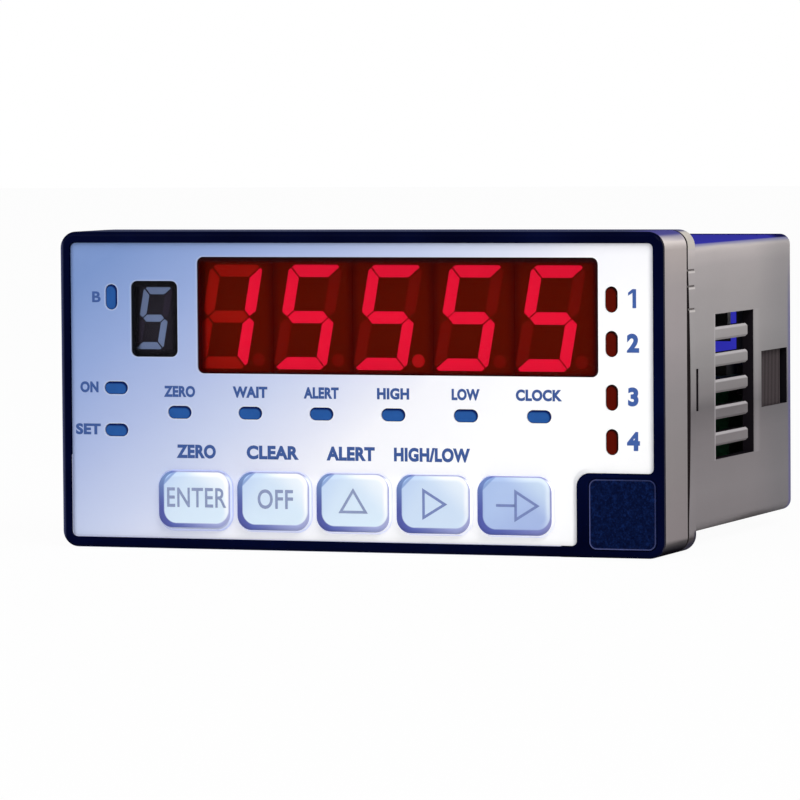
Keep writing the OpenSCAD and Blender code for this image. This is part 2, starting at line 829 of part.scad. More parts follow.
module display_board() {
    color("darkgreen") difference() {
        between(board_front_y, board_back_y)
            rounded_rect(board_w, board_h, max(frame_in_r - board_gap, 0.5));
        at_bosses() rod(0, 0, board_front_y - EPS, board_back_y + EPS, boss_hole_r + 0.1);
    }
}

module board_screws() {
    tip_y = board_back_y - screw_l;
    color("silver") at_bosses() difference() {
        union() {
            rod(0, 0, tip_y, board_back_y, screw_r);
            rod(0, 0, board_back_y, board_back_y + screw_head_t, screw_head_r);
        }
        translate([-THIN / 2, board_back_y + screw_head_t / 2, -screw_head_r - EPS])
            cube([THIN, screw_head_t, 2 * (screw_head_r + EPS)]);
    }
}

// ---- frame, seals and case ----

// Arm behind the frame's side wall whose nose snaps into the case's slit
module latch() {
    arm_x = cavity_w / 2 - arm_gap - arm_t;
    nose_x = case_w / 2 - nose_sink;
    arm_h = slit_h - 2 * nose_gap;
    translate([arm_x, tab_front_y, slit_z - arm_h / 2]) {
        cube([frame_in_w / 2 + EPS - arm_x, tab_t, arm_h]);
        cube([arm_t, slit_y + slit_w / 2 - nose_gap - tab_front_y, arm_h]);
        translate([0, slit_y - slit_w / 2 + nose_gap - tab_front_y, 0])
            cube([nose_x - arm_x, slit_w - 2 * nose_gap, arm_h]);
    }
}

module front_frame() {
    color("#8f8888") {
        between(rim_back_y, frame_back_y) difference() {
            rounded_rect(bezel_w, bezel_h, bezel_corner_r);
            rounded_rect(frame_in_w, frame_in_h, frame_in_r);
        }
        latch();
        mirror([1, 0, 0]) latch();
    }
}

module case_seal() {
    color("#241f20") between(frame_back_y, -flange_t) difference() {
        rounded_rect(bezel_w - 2 * seal_inset, bezel_h - 2 * seal_inset, bezel_corner_r - seal_inset);
        rounded_rect(frame_in_w + 0.2, frame_in_h + 0.2, frame_in_r + 0.1);
    }
}

module panel_gasket() {
    color("#2b2b2b") between(0, gasket_t) difference() {
        rounded_rect(
            bezel_w - 2 * gasket_inset, bezel_h - 2 * gasket_inset, bezel_corner_r - gasket_inset
        );
        rounded_rect(
            case_w + 2 * gasket_gap, case_h + 2 * gasket_gap, case_corner_r + gasket_gap
        );
    }
}

// Comb of slots: the slats hang from the front edge and end free at the rear
module vent_outline() {
    difference() {
        square([vent_l, vent_h]);
        for (i = [0:slat_count - 1])
            translate([-EPS, (2 * i + 1) * slat_h]) square([vent_l - slat_end + EPS, slat_h]);
    }
}

// Wedges that chamfer the outer edges of every slat
module slat_chamfers() {
    s = slat_chamfer * sqrt(2);
    for (i = [1:2 * slat_count])
        translate([case_w / 2, vent_y, vent_z - vent_h / 2 + i * slat_h]) rotate([0, 45, 0])
            translate([-s / 2, 0, -s / 2]) cube([s, vent_l - slat_end + EPS, s]);
}

// Section of the ratchet recess: depth below the case's side against distance along it
function ratchet_points() = [
    [-EPS, 0], [ratchet_depth, 0],
    for (i = [1:tooth_count], top = [true, false])
        [top ? ratchet_depth - tooth_h : ratchet_depth, i * tooth_pitch],
    [ratchet_depth, ratchet_l], [-EPS, ratchet_l],
];

// What is cut into the case's right side
module side_cuts() {
    side_x = case_w / 2;
    translate([cavity_w / 2 - EPS, vent_y, vent_z - vent_h / 2])
        rotate([90, 0, 90]) linear_extrude(case_wall + 2 * EPS) vent_outline();
    slat_chamfers();
    translate([cavity_w / 2 - EPS, slit_y - slit_w / 2, slit_z - slit_h / 2])
        cube([case_wall + 2 * EPS, slit_w, slit_h]);
    translate([side_x, ratchet_y, slit_z - ratchet_h / 2])
        mirror([1, 0, 0]) linear_extrude(ratchet_h) polygon(ratchet_points());
    translate([bezel_w / 2 - 1, seam_bow - flange_t - bow_r, slit_z])
        rotate([0, 90, 0]) cylinder(h = 1 + EPS, r = bow_r, $fn = 360);
    for (drop = groove_drop)
        translate([bezel_w / 2 - groove_s, -flange_t - EPS, (bezel_h - groove_s) / 2 - drop])
            cube([groove_s + EPS, flange_t + 2 * EPS, groove_s]);
}

// Pair of ribs on the right wall that guide one board's edge
module guide_rail(top_z, y, l) {
    for (z = [top_z + rail_gap, top_z - pcb_t - rail_gap - rail_t])
        translate([cavity_w / 2 - rail_depth, y, z]) cube([rail_depth + EPS, l, rail_t]);
}

module guide_rails() {
    for (z = [power_z, main_z]) guide_rail(z, rear_rail_y, rear_rail_l);
    guide_rail(power_z, vent_y - 1 - front_rail_l, front_rail_l);
    guide_rail(main_z, vent_y - 1 - front_rail_l, front_rail_l);
}

// Opening in the rear wall for the block that stands on a board at height z
module terminal_window(z) {
    translate([
        -terminal_w / 2 - terminal_gap, rear_y - EPS, z - terminal_gap
    ]) cube([terminal_w + 2 * terminal_gap, rear_wall + 2 * EPS, terminal_h + 2 * terminal_gap]);
}

module case() {
    color("#8d8686") difference() {
        union() {
            difference() {
                union() {
                    translate([0, -flange_t, 0]) rotate([-90, 0, 0]) soft_slab(
                        case_w, case_h, case_corner_r, case_depth + flange_t, case_edge_r
                    );
                    between(-flange_t, 0) rounded_rect(bezel_w, bezel_h, bezel_corner_r);
                }
                between(-flange_t - EPS, rear_y) rounded_rect(cavity_w, cavity_h, cavity_r);
            }
            guide_rails();
            mirror([1, 0, 0]) guide_rails();
        }
        side_cuts();
        mirror([1, 0, 0]) side_cuts();
        terminal_window(power_z);
        terminal_window(main_z);
    }
}

// ---- inside ----

// Horizontal board whose front part is narrow enough to pass between the latch arms
module inner_board(top_z) {
    translate([0, 0, top_z - pcb_t]) linear_extrude(pcb_t) {
        translate([-neck_w / 2, inner_board_y]) square([neck_w, neck_y - inner_board_y]);
        translate([-inner_board_w / 2, neck_y]) square([inner_board_w, inner_board_end - neck_y]);
    }
}

module power_board() {
    color("darkgreen") inner_board(power_z);
}

module main_board() {
    color("darkgreen") inner_board(main_z);
}

// Header that joins a horizontal board to the display board
module board_link(top_z) {
    link_w = link_pins * link_pitch;
    notch = link_pitch / 4;
    color("black") translate([-link_w / 2, board_back_y, top_z]) difference() {
        cube([link_w, board_step + link_reach, link_pitch]);
        for (i = [1:link_pins - 1])
            translate([i * link_pitch, board_step + link_reach, link_pitch / 2])
                rotate([0, 0, 45]) cube([notch, notch, link_pitch + 2 * EPS], center = true);
    }
}

module transformer_core() {
    upper_z = power_z + core_limb + core_window;
    color("#33302f") translate([core_x - core_l, core_y, 0]) {
        translate([0, 0, power_z]) cube([core_l, core_d, core_limb]);
        translate([0, 0, upper_z]) cube([core_l, core_d, power_z + core_h - upper_z]);
        translate([core_l / 4, core_d / 3, power_z]) cube([core_l / 2, core_d / 3, core_h]);
    }
}

module transformer_bobbin() {
    play = 0.1;
    base_z = power_z + core_limb + play;
    color("mediumblue") difference() {
        union() {
            translate([core_x - core_l, core_y, base_z])
                cube([bobbin_x - core_x + core_l, core_d, core_window - 2 * play]);
            translate([bobbin_x - bobbin_flange, core_y, base_z])
                cube([bobbin_flange, core_d, core_h - core_limb - 1]);
        }
        translate([core_x - core_l * 3 / 4 - play, core_y + core_d / 3 - play, base_z - EPS])
            cube([core_l / 2 + 2 * play, core_d / 3 + 2 * play, core_window + 2 * EPS]);
    }
}

module transformer_strip() {
    strip_z = power_z + core_limb + core_window - 0.1;
    color("lightgray") translate([bobbin_x - bobbin_flange - tape_t, core_y, strip_z])
        cube([tape_t, core_d, power_z + core_h - 0.9 - strip_z]);
}

// Aluminium can with a rolled groove near its foot and a bevelled rim
module capacitor(i) {
    r = capacitor_r;
    h = capacitor_h;
    color("#20242c") translate([capacitor_x - (i - 1) * capacitor_pitch, capacitor_y, power_z])
        rotate_extrude() polygon([
            [0, 0], [r - can_bevel, 0], [r, can_bevel], [r, can_groove_z - can_groove],
            [r - can_groove, can_groove_z], [r, can_groove_z + can_groove],
            [r, h - can_bevel], [r - can_bevel, h], [0, h],
        ]);
}

module relay(i) {
    color("black") translate([relay_x + (i - 1) * relay_pitch, relay_y + relay_d / 2, power_z])
        soft_slab(relay_w, relay_d, 0.8, relay_h, 0.5);
}

module processor() {
    lead_pitch = processor_w / (lead_count + 1);
    lead_w = lead_pitch * 0.45;
    color("#1a1a1a") translate([0, (vent_y + relay_y) / 2, main_z]) {
        translate([-processor_w / 2, -processor_w / 2, 0.1])
            cube([processor_w, processor_w, processor_t]);
        for (a = [0:90:270], i = [1:lead_count]) rotate([0, 0, a])
            translate([processor_w / 2 - EPS, i * lead_pitch - (processor_w + lead_w) / 2, 0])
                cube([1 + EPS, lead_w, 0.3]);
    }
}

// ---- terminals ----

// Block along the rear edge of a board: wire entries below, screw wells above
module terminal_block(z) {
    step_z = (entry_z + entry_s / 2 + well_z - well_r) / 2;
    profile = [
        [terminal_front_y, 0], [terminal_back_y, 0], [terminal_back_y, step_z - 0.6],
        [terminal_back_y - terminal_step, step_z], [terminal_back_y - terminal_step, terminal_h],
        [terminal_front_y, terminal_h],
    ];
    color("#2f6b4a") translate([0, 0, z]) difference() {
        translate([-terminal_w / 2, 0, 0])
            rotate([90, 0, 90]) linear_extrude(terminal_w) polygon(profile);
        for (i = [0:terminal_count - 1]) {
            translate([
                terminal_x(i) - entry_s / 2, terminal_back_y - entry_depth, entry_z - entry_s / 2
            ]) cube([entry_s, entry_depth + EPS, entry_s]);
            rod(
                terminal_x(i), well_z, terminal_back_y - terminal_step - well_depth,
                terminal_back_y, well_r
            );
        }
    }
}

module terminal_screw() {
    r = well_r - well_gap;
    difference() {
        rod(0, 0, terminal_screw_y - terminal_screw_l, terminal_screw_y, r);
        translate([-THIN / 2, terminal_screw_y - 0.9, -r - EPS])
            cube([THIN, 0.9 + EPS, 2 * (r + EPS)]);
    }
}

module terminal_screws() {
    color("silver") for (i = [0:terminal_count - 1], z = [power_z, main_z])
        translate([terminal_x(i), 0, z + well_z]) terminal_screw();
}

// Square sleeve deep in a wire entry
module terminal_clamp() {
    outer = entry_s - 0.2;
    inner = outer - 2 * clamp_t;
    between(terminal_back_y - entry_depth, terminal_back_y - entry_depth + clamp_l) difference() {
        square(outer, center = true);
        square(inner, center = true);
    }
}

module terminal_clamps() {
    color("goldenrod") for (i = [0:terminal_count - 1], z = [power_z, main_z])
        translate([terminal_x(i), 0, z + entry_z]) terminal_clamp();
}

// ---- nodes ----

case();
panel_gasket();
case_seal();
front_frame();
fascia();
corner_insert();
front_label();
main_window();
small_window();
mode_light_bar();
function_light_bar();
output_light_bar();
for (i = [1:key_count]) {
    key_cap(i);
    plunger(i);
    key_switch(i);
}
for (i = [1:digit_count]) {
    digit_housing(i);
    digit_segments(i);
}
display_board();
small_digit();
small_segments();
status_leds();
board_screws();
power_board();
main_board();
board_link(power_z);  // upper_link
board_link(main_z);  // lower_link
transformer_core();
transformer_bobbin();
transformer_strip();
for (i = [1:2]) capacitor(i);
for (i = [1:4]) relay(i);
processor();
terminal_block(power_z);  // terminal_block_upper
terminal_block(main_z);  // terminal_block_lower
terminal_screws();
terminal_clamps();
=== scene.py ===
"""Looks of the digital panel meter: its finishes, print, lit characters and the studio round it."""

import math

import bpy
from mathutils import Matrix, Vector


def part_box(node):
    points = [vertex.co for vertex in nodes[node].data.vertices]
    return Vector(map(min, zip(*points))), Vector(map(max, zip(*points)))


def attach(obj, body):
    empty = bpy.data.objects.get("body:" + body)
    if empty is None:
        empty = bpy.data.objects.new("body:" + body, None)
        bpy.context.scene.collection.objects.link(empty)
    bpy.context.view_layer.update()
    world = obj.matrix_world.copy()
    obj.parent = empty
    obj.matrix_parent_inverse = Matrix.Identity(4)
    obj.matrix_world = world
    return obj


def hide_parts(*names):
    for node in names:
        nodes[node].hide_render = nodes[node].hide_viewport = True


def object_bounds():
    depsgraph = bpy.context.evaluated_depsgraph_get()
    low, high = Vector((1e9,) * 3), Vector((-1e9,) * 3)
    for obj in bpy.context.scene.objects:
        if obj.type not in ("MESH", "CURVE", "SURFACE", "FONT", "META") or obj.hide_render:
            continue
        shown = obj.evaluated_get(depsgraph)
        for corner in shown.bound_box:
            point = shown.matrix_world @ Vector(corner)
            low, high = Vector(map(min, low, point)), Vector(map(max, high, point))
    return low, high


MM = 0.001

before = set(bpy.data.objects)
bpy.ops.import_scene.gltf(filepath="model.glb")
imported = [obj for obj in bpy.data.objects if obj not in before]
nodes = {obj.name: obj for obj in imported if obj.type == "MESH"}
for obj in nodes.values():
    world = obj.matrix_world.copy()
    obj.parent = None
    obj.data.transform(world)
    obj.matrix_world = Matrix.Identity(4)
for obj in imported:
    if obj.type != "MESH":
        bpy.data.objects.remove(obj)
cad_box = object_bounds()


# ---- shader writing ----


class Wire:
    """An output of a node. A sum that is written with it becomes Math nodes."""

    def __init__(self, recipe, socket):
        self.recipe, self.socket = recipe, socket

    def sum(self, operation, *values, **settings):
        inputs = dict(enumerate(values))
        return self.recipe.node("Math", {"operation": operation, **settings}, inputs)

    def __add__(self, other):
        return self.sum("ADD", self, other)

    def __sub__(self, other):
        return self.sum("SUBTRACT", self, other)

    def __rsub__(self, other):
        return self.sum("SUBTRACT", other, self)

    def __mul__(self, other):
        return self.sum("MULTIPLY", self, other)

    def __truediv__(self, other):
        return self.sum("DIVIDE", self, other)

    def __abs__(self):
        return self.sum("ABSOLUTE", self)

    def over(self, other):
        return self.sum("GREATER_THAN", self, other)

    def under(self, other):
        return self.sum("LESS_THAN", self, other)

    def least(self, other):
        return self.sum("MINIMUM", self, other)

    def most(self, other):
        return self.sum("MAXIMUM", self, other)

    def wrapped(self, pitch):
        return self.sum("WRAP", self, pitch / 2, -pitch / 2)

    def length(self, other):
        return self.sum("SQRT", self * self + other * other)

    def ramp(self, low, high):
        """0 at low, 1 at high, soft at both ends."""
        settings = {"interpolation_type": "SMOOTHSTEP"}
        inputs = {"Value": self, "From Min": low, "From Max": high}
        return self.recipe.node("MapRange", settings, inputs)

    __radd__ = __add__
    __rmul__ = __mul__


class Recipe:
    """A node tree that is being wired."""

    def __init__(self, tree):
        self.tree = tree

    def node(self, kind, settings=None, inputs=None, output=0):
        """Adds a node: its settings first, then the values or links of its sockets."""
        made = self.tree.nodes.new("ShaderNode" + kind)
        for name, value in (settings or {}).items():
            if name == "stops":
                set_stops(made.color_ramp, value)
            else:
                setattr(made, name, value)
        for name, value in (inputs or {}).items():
            self.feed(made.inputs[name], value)
        return Wire(self, made.outputs[output])

    def feed(self, socket, value):
        if isinstance(value, Wire):
            self.tree.links.new(value.socket, socket)
        elif socket.type == "VECTOR":
            socket.default_value = value[:3]
        else:
            socket.default_value = value

    def place(self):
        """Object coordinates in millimetres, as three wires."""
        point = self.node("TexCoord", output=3)
        scale = {"operation": "SCALE"}
        point = self.node("VectorMath", scale, {0: point, "Scale": 1 / MM})
        axes = [self.node("SeparateXYZ", inputs={0: point}, output=i) for i in range(3)]
        return point, axes

    def blend(self, share, first, second):
        """The first colour where share is 0, the second where it is 1."""
        return self.node("Mix", {"data_type": "RGBA"}, {0: share, 6: first, 7: second}, output=2)

    def tinted(self, colour, tone):
        """A colour made lighter or darker by a wire."""
        return self.node("VectorMath", {"operation": "SCALE"}, {0: colour, "Scale": tone})

    def stops(self, value, stops):
        return self.node("ValToRGB", {"stops": stops}, {0: value})

    def noise(self, point, scale, detail=2.0, roughness=0.5):
        inputs = {"Vector": point, "Scale": scale, "Detail": detail, "Roughness": roughness}
        return self.node("TexNoise", inputs=inputs)

    def bump(self, height, distance, flat=None):
        """Fine relief. Where flat is 1 it lies on the true face and not on the smoothed one."""
        inputs = {"Strength": 1.0, "Distance": distance * MM, "Height": height}
        if flat is not None:
            smooth = self.node("NewGeometry", output=1)
            true = self.node("NewGeometry", output=3)
            ways = {"data_type": "VECTOR"}
            inputs["Normal"] = self.node("Mix", ways, {0: flat, 4: smooth, 5: true}, output=1)
        return self.node("Bump", inputs=inputs)


class Finish(Recipe):
    """A material with one Principled shader."""

    def __init__(self, name, **constants):
        self.material = bpy.data.materials.new(name)
        self.material.use_nodes = True
        super().__init__(self.material.node_tree)
        self.shader = self.tree.nodes["Principled BSDF"]
        for socket, value in constants.items():
            self.set(socket.replace("_", " "), value)

    def set(self, socket, value):
        self.feed(self.shader.inputs[socket], value)


def set_stops(ramp, stops):
    while len(ramp.elements) < len(stops):
        ramp.elements.new(0.5)
    for element, (position, colour) in zip(ramp.elements, stops):
        element.position, element.color = position, colour


def rgb(code):
    """Linear colour of a web colour code."""
    parts = [int(code[i : i + 2], 16) / 255 for i in (0, 2, 4)]
    return (*[c / 12.92 if c <= 0.04045 else ((c + 0.055) / 1.055) ** 2.4 for c in parts], 1.0)


def rounded_box(u, v, half_w, half_h, r):
    """Distance from a rounded rectangle's outline, negative inside."""
    a = abs(u) - (half_w - r)
    b = abs(v) - (half_h - r)
    return a.most(0.0).length(b.most(0.0)) + a.most(b).least(0.0) - r


def middle(name):
    """Middle of a node's box, in millimetres."""
    low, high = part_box(name)
    return (low + high) / 2 / MM


def middle_and_half(name):
    """Middle and half size of a node's box, in millimetres."""
    low, high = [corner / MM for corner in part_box(name)]
    return (low + high) / 2, (high - low) / 2


LABEL = [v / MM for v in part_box("front_label")]
CASE = [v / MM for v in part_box("case")]
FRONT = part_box("fascia")[0].y / MM
LABEL_FRONT = LABEL[0].y
KEY_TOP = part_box("key_1")[1].z / MM
KEY_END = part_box("key_5")[1].x / MM

# the tub, which is smaller than its flange, and the vent and the toothed recess in its sides
TUB_TOP = CASE[1].z - 2.0
SIDE = CASE[1].x - 2.4
VENT_Z = -0.4
SLAT_PITCH = 4.036
RECESS_FRONT = 43.45
RECESS_REAR = 58.2
RECESS_HALF = 4.45
TOOTH_PITCH = 0.8

# upper edges of the flange's grooves, and the shallow arc of its seam with the frame
GROOVES = [CASE[1].z - drop for drop in (6.0, 8.4, 11.8)]
SEAM_BOW = 1.1
SEAM_RADIUS = 164.6

# the two windows: middle, half width and half height, corner
WINDOW = middle("main_window")
WINDOW_HALF = (31.65, 8.7)
SMALL = middle("small_window")
SMALL_HALF = (3.7, 5.65)
WINDOW_R = 0.9

# the light pipes: half length and half width, which is their corner too, and their places
PIPE_LONG = 1.85
PIPE_SHORT = 0.9
SLOT_X = 11.45
FUNCTION_Z = middle("function_light_bar").z
MODE_X = SMALL.x - SMALL_HALF[0] - 0.8 - PIPE_LONG
MODE_ROWS = [SMALL.z - SMALL_HALF[1] - drop for drop in (4.85, 11.25)]
UPRIGHT_Z = CASE[1].z - 9.9
OUTPUT_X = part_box("output_light_bar")[0].x / MM + PIPE_SHORT
OUTPUT_ROWS = [14.05, 7.517, -0.367, -6.9]


# ---- plastics ----


def moulded(name, colour, roughness, grain=0.35, mottle=0.06, paint=None):
    """Moulded plastic: a fine spark-eroded grain, cloudy colour and uneven shine."""
    finish = Finish(name, Specular_IOR_Level=0.0 if paint else 0.4, Coat_Roughness=0.4)
    point, axes = finish.place()
    cloud = finish.noise(point, 0.09, 3.0)
    fine = finish.noise(point, 1 / grain, 4.0, 0.6)
    tone = (cloud - 0.5) * mottle + (fine - 0.5) * mottle + 1.0
    skin = paint(finish, point, *axes) if paint else colour
    finish.set("Base Color", finish.tinted(skin, tone))
    finish.set("Roughness", (fine - 0.5) * 0.16 + (cloud - 0.5) * 0.1 + roughness)
    flat = abs(axes[0]).over(SIDE - 0.03) if paint else None
    finish.set("Normal", finish.bump(fine, 0.012, flat))
    return finish


def colour_and_height_shade(finish, point, z, low, high, stops):
    """The grey's own colour with painted light and shade that drift with height, made uneven by faint
    streaks.
    """
    stretch = finish.node("Mapping", inputs={"Vector": point, "Scale": (0.02, 0.02, 0.35)})
    streak = finish.noise(stretch, 1.0, 3.0)
    height = (z + (streak - 0.5) * 2.2 - low) / (high - low)
    return finish.stops(height, [((at - low) / (high - low), rgb(code)) for at, code in stops])


def from_groove(z):
    """Distance from the upper edge of the flange's nearest groove."""
    distance = abs(z - GROOVES[0])
    for groove in GROOVES[1:]:
        distance = distance.least(abs(z - groove))
    return distance


def case_skin(finish, point, x, y, z):
    """Warm grey tub with painted light and shade: painted shade in its openings, under it and at its
    seam, painted highlights on its edges and painted violet-blue reflections along its top.
    """
    # the grey with painted shade low down and in a band below the middle, and a painted highlight and
    # violet reflection at its upper edge
    skin = colour_and_height_shade(
        finish,
        point,
        z,
        -22.5,
        22.5,
        [
            (-21.9, "4c4647"),
            (-21.0, "8a8486"),
            (-16.0, "8f898b"),
            (-8.0, "857f81"),
            (-3.4, "736e70"),
            (-1.0, "898485"),
            (3.0, "989494"),
            (8.0, "a5a0a0"),
            (14.0, "aaa4a4"),
            (18.0, "b2abab"),
            (20.0, "c0b8b7"),
            (20.8, "cdc4c2"),
            (21.3, "b4afba"),
        ],
    )
    # painted shade, darker towards the rear
    skin = finish.blend(y.ramp(35.0, 57.0) * 0.3, skin, rgb("60646a"))
    # a painted violet reflection along the rear edge, fading out towards the top
    rear = y.ramp(CASE[1].y - 3.0, CASE[1].y - 1.3)
    skin = finish.blend(rear * z.ramp(20.0, 8.0) * 0.85, skin, rgb("6a6796"))
    # painted highlights: a light line before the vent and a lighter flat behind it
    level = z - VENT_Z
    beside = abs(level).under(11.2)
    edge_gleam = beside * abs(y - 18.1).ramp(0.4, 0.1) * 0.5
    edge_gleam = edge_gleam.most(beside * abs(y - 41.0).ramp(2.2, 0.2) * 0.14)
    skin = finish.blend(edge_gleam, skin, rgb("c4bfc2"))
    # a painted violet reflection along the tub's upper edge
    tub = y.over(0.4)
    violet = z.ramp(TUB_TOP - 0.95, TUB_TOP - 0.6) * tub
    skin = finish.blend(violet * 0.6, skin, rgb("6c6da6"))
    # a painted blue reflection on the tub's top, with painted dark navy shade towards its rear
    top = z.ramp(TUB_TOP - 0.6, TUB_TOP - 0.35) * tub
    far = y.ramp(50.0, 56.0)
    skin = finish.blend(top, skin, finish.blend(far, rgb("3535a0"), rgb("16164a")))
    # a painted reflection on the flange's top, pale at the left and dark at the right
    flange_top = z.ramp(CASE[1].z - 0.5, CASE[1].z - 0.1)
    leftward = x.ramp(30.0, -30.0)
    skin = finish.blend(flange_top, skin, finish.blend(leftward, rgb("4c4d72"), rgb("a4a6b6")))
    # a painted highlight: a pale line on the flange's face by its side edge
    flange_gleam = abs(x).under(CASE[1].x - 0.02) * abs(x).over(46.5)
    flange_gleam = flange_gleam * abs(z - 12.5).under(7.0) * y.under(0.01)
    skin = finish.blend(flange_gleam, skin, rgb("d4cdc9"))
    finish.set("Coat Weight", (1 - top) * 0.12)
    # painted shade: inside the side faces, such as on the walls of the openings, the case is dark,
    # except on the chamfers and in the toothed recess
    within = abs(x).under(SIDE - 0.06)
    rail = within * abs(z).under(TUB_TOP - 1.9) * y.over(1.0)
    recess = y.over(RECESS_FRONT) * abs(level).under(RECESS_HALF)
    hollow_shade = rail * (1 - recess)
    # painted highlight on the slats' chamfers, the upper ones most
    slat = level.wrapped(SLAT_PITCH)
    chamfer = abs(slat).under(1.02) * abs(level).under(9.2) * y.under(35.9) * y.over(18.4)
    chamfer = chamfer * abs(x).over(SIDE - 0.42)
    hollow_shade = hollow_shade * (1 - chamfer)
    skin = finish.blend(chamfer * slat.ramp(0.55, 0.75) * 0.7, skin, rgb("cdc8ca"))
    skin = finish.blend(hollow_shade, skin, rgb("1b171c"))
    # the toothed recess in dark brown-grey, with painted shade in the gaps between its teeth and at its
    # rear end
    toothed = within * recess * y.under(RECESS_REAR)
    gap = abs((y - RECESS_FRONT - 0.05).wrapped(TOOTH_PITCH)).ramp(0.09, 0.15)
    teeth = finish.blend(gap, rgb("5a5153"), rgb("151214"))
    skin = finish.blend(toothed, skin, finish.blend(y.over(56.7), teeth, rgb("131216")))
    # a painted highlight on the flange's rounded upper corner
    flange = y.under(0.3)
    corner = z.ramp(20.8, 21.3) * (1 - flange_top) * flange
    skin = finish.blend(corner, skin, rgb("cdc6bd"))
    # painted shade on the flange's lower edge
    under = z.ramp(-21.9, -23.0).most(y.ramp(-1.5, -0.4) * z.ramp(-20.6, -21.4))
    skin = finish.blend(under * flange, skin, rgb("221e36"))
    # each groove has painted shade along its upper edge and a painted highlight along its lower one
    above = from_groove(z - 0.02)
    below = from_groove(z + 0.34)
    side = abs(x).over(47.6) * y.under(0.1) * y.over(-3.3)
    skin = finish.blend(below.under(0.14) * side * 0.7, skin, rgb("ded8d4"))
    skin = finish.blend(above.under(0.12) * side * 0.8, skin, rgb("625a5c"))
    # painted shadow along the shallow arc of the seam with the frame
    bow = (level * level / (-2 * SEAM_RADIUS) + SEAM_BOW).most(0.0)
    seam = y.under(bow + CASE[0].y + 0.12) * abs(x).over(40.0)
    return finish.blend(seam, skin, rgb("2c2627"))


def frame_skin(finish, point, x, y, z):
    """Frame behind the fascia: the same grey with painted light and shade, painted shade at its seam,
    inside it and on its latches.
    """
    # the grey with painted shade at its foot, and a painted highlight and violet reflection along its
    # top edge
    skin = colour_and_height_shade(
        finish,
        point,
        z,
        -24.0,
        24.0,
        [
            (-23.5, "17151c"),
            (-22.9, "3a383d"),
            (-22.1, "5c5859"),
            (-21.5, "938b8c"),
            (-8.0, "958f8f"),
            (0.0, "999394"),
            (8.0, "a8a0a1"),
            (16.0, "aca4a4"),
            (21.0, "bbb1ae"),
            (22.4, "e6dcd8"),
            (23.1, "a8a1b0"),
            (23.6, "6f6d9c"),
        ],
    )
    # painted reflection: along the top the frame is navy, and violet only towards the right corner
    top = z.ramp(CASE[1].z - 0.75, CASE[1].z - 0.35)
    navy = x.ramp(46.0, 40.0)
    skin = finish.blend(top, skin, finish.blend(navy, rgb("504e90"), rgb("3c415c")))
    # painted shade behind the seam and on the faces inside the frame
    hidden_shade = y.over(-4.28).most(abs(x).under(45.9) * abs(z).under(21.9))
    return finish.blend(hidden_shade, skin, rgb("262123"))


def bezel_finish():
    """Deep navy gloss with painted highlights along its edges, and painted light with a glow where it
    shows only as a line round the keys.
    """
    finish = Finish("navy_gloss_plastic", Coat_Roughness=0.15, Specular_IOR_Level=0.0)
    point, (x, y, z) = finish.place()
    cloud = finish.noise(point, 0.06, 3.0)
    fine = finish.noise(point, 2.0, 4.0, 0.6)
    body = finish.stops(cloud, [(0.3, rgb("00021a")), (0.55, rgb("000424")), (0.75, rgb("01082e"))])
    # painted highlights along the rim's right side, its left edge and its top
    rim_side = x.over(CASE[1].x - 0.45) * y.over(FRONT + 0.35)
    body = finish.blend(rim_side * 0.7, body, rgb("3a383f"))
    rim_left = x.ramp(CASE[0].x + 0.8, CASE[0].x + 0.15)
    body = finish.blend(rim_left * 0.8, body, rgb("50567a"))
    rim_top = z.ramp(CASE[1].z - 0.5, CASE[1].z - 0.2) * y.over(FRONT + 0.6)
    body = finish.blend(rim_top * 0.8, body, rgb("2c3558"))
    # painted light and a painted glow on the walls of the gap round the keys, where shade falls
    behind = y.over(LABEL_FRONT + 0.02) * z.under(KEY_TOP + 1.5) * x.under(KEY_END + 1.0)
    finish.set("Base Color", finish.blend(behind, body, rgb("cfd1de")))
    finish.set("Emission Color", finish.blend(behind, (0, 0, 0, 1), rgb("bcbed0")))
    finish.set("Emission Strength", 0.4)
    finish.set("Roughness", (fine - 0.5) * 0.1 + 0.28)
    finish.set("Coat Weight", (cloud - 0.5) * 0.04 + 0.03)
    finish.set("Normal", finish.bump(fine, 0.003))
    return finish


def insert_finish():
    """Speckled navy pad with a fine painted highlight along its edge."""
    finish = Finish("speckled_navy", Roughness=0.45, Specular_IOR_Level=0.0, Coat_Weight=0.04)
    point, (x, _, z) = finish.place()
    centre, half = middle_and_half("corner_insert")
    edge = rounded_box(x - centre.x, z - centre.z, half.x, half.z, 1.2)
    fine = finish.noise(point, 4.0, 3.0, 0.7)
    speckle = finish.noise(point, 1.6, 2.0, 0.6)
    body = finish.stops(
        fine * 0.6 + speckle * 0.4,
        [(0.38, rgb("010728")), (0.52, rgb("041136")), (0.66, rgb("0c2050"))],
    )
    # the painted highlight along the edge, strongest at the lower left
    line = edge.ramp(-0.3, -0.16) * (1 - edge.ramp(-0.16, -0.04))
    lower_left = (x - centre.x + z - centre.z).ramp(6.0, -6.0)
    finish.set("Base Color", finish.blend(line * (lower_left * 0.4 + 0.22), body, rgb("6a70a4")))
    finish.set("Normal", finish.bump(fine, 0.02))
    return finish


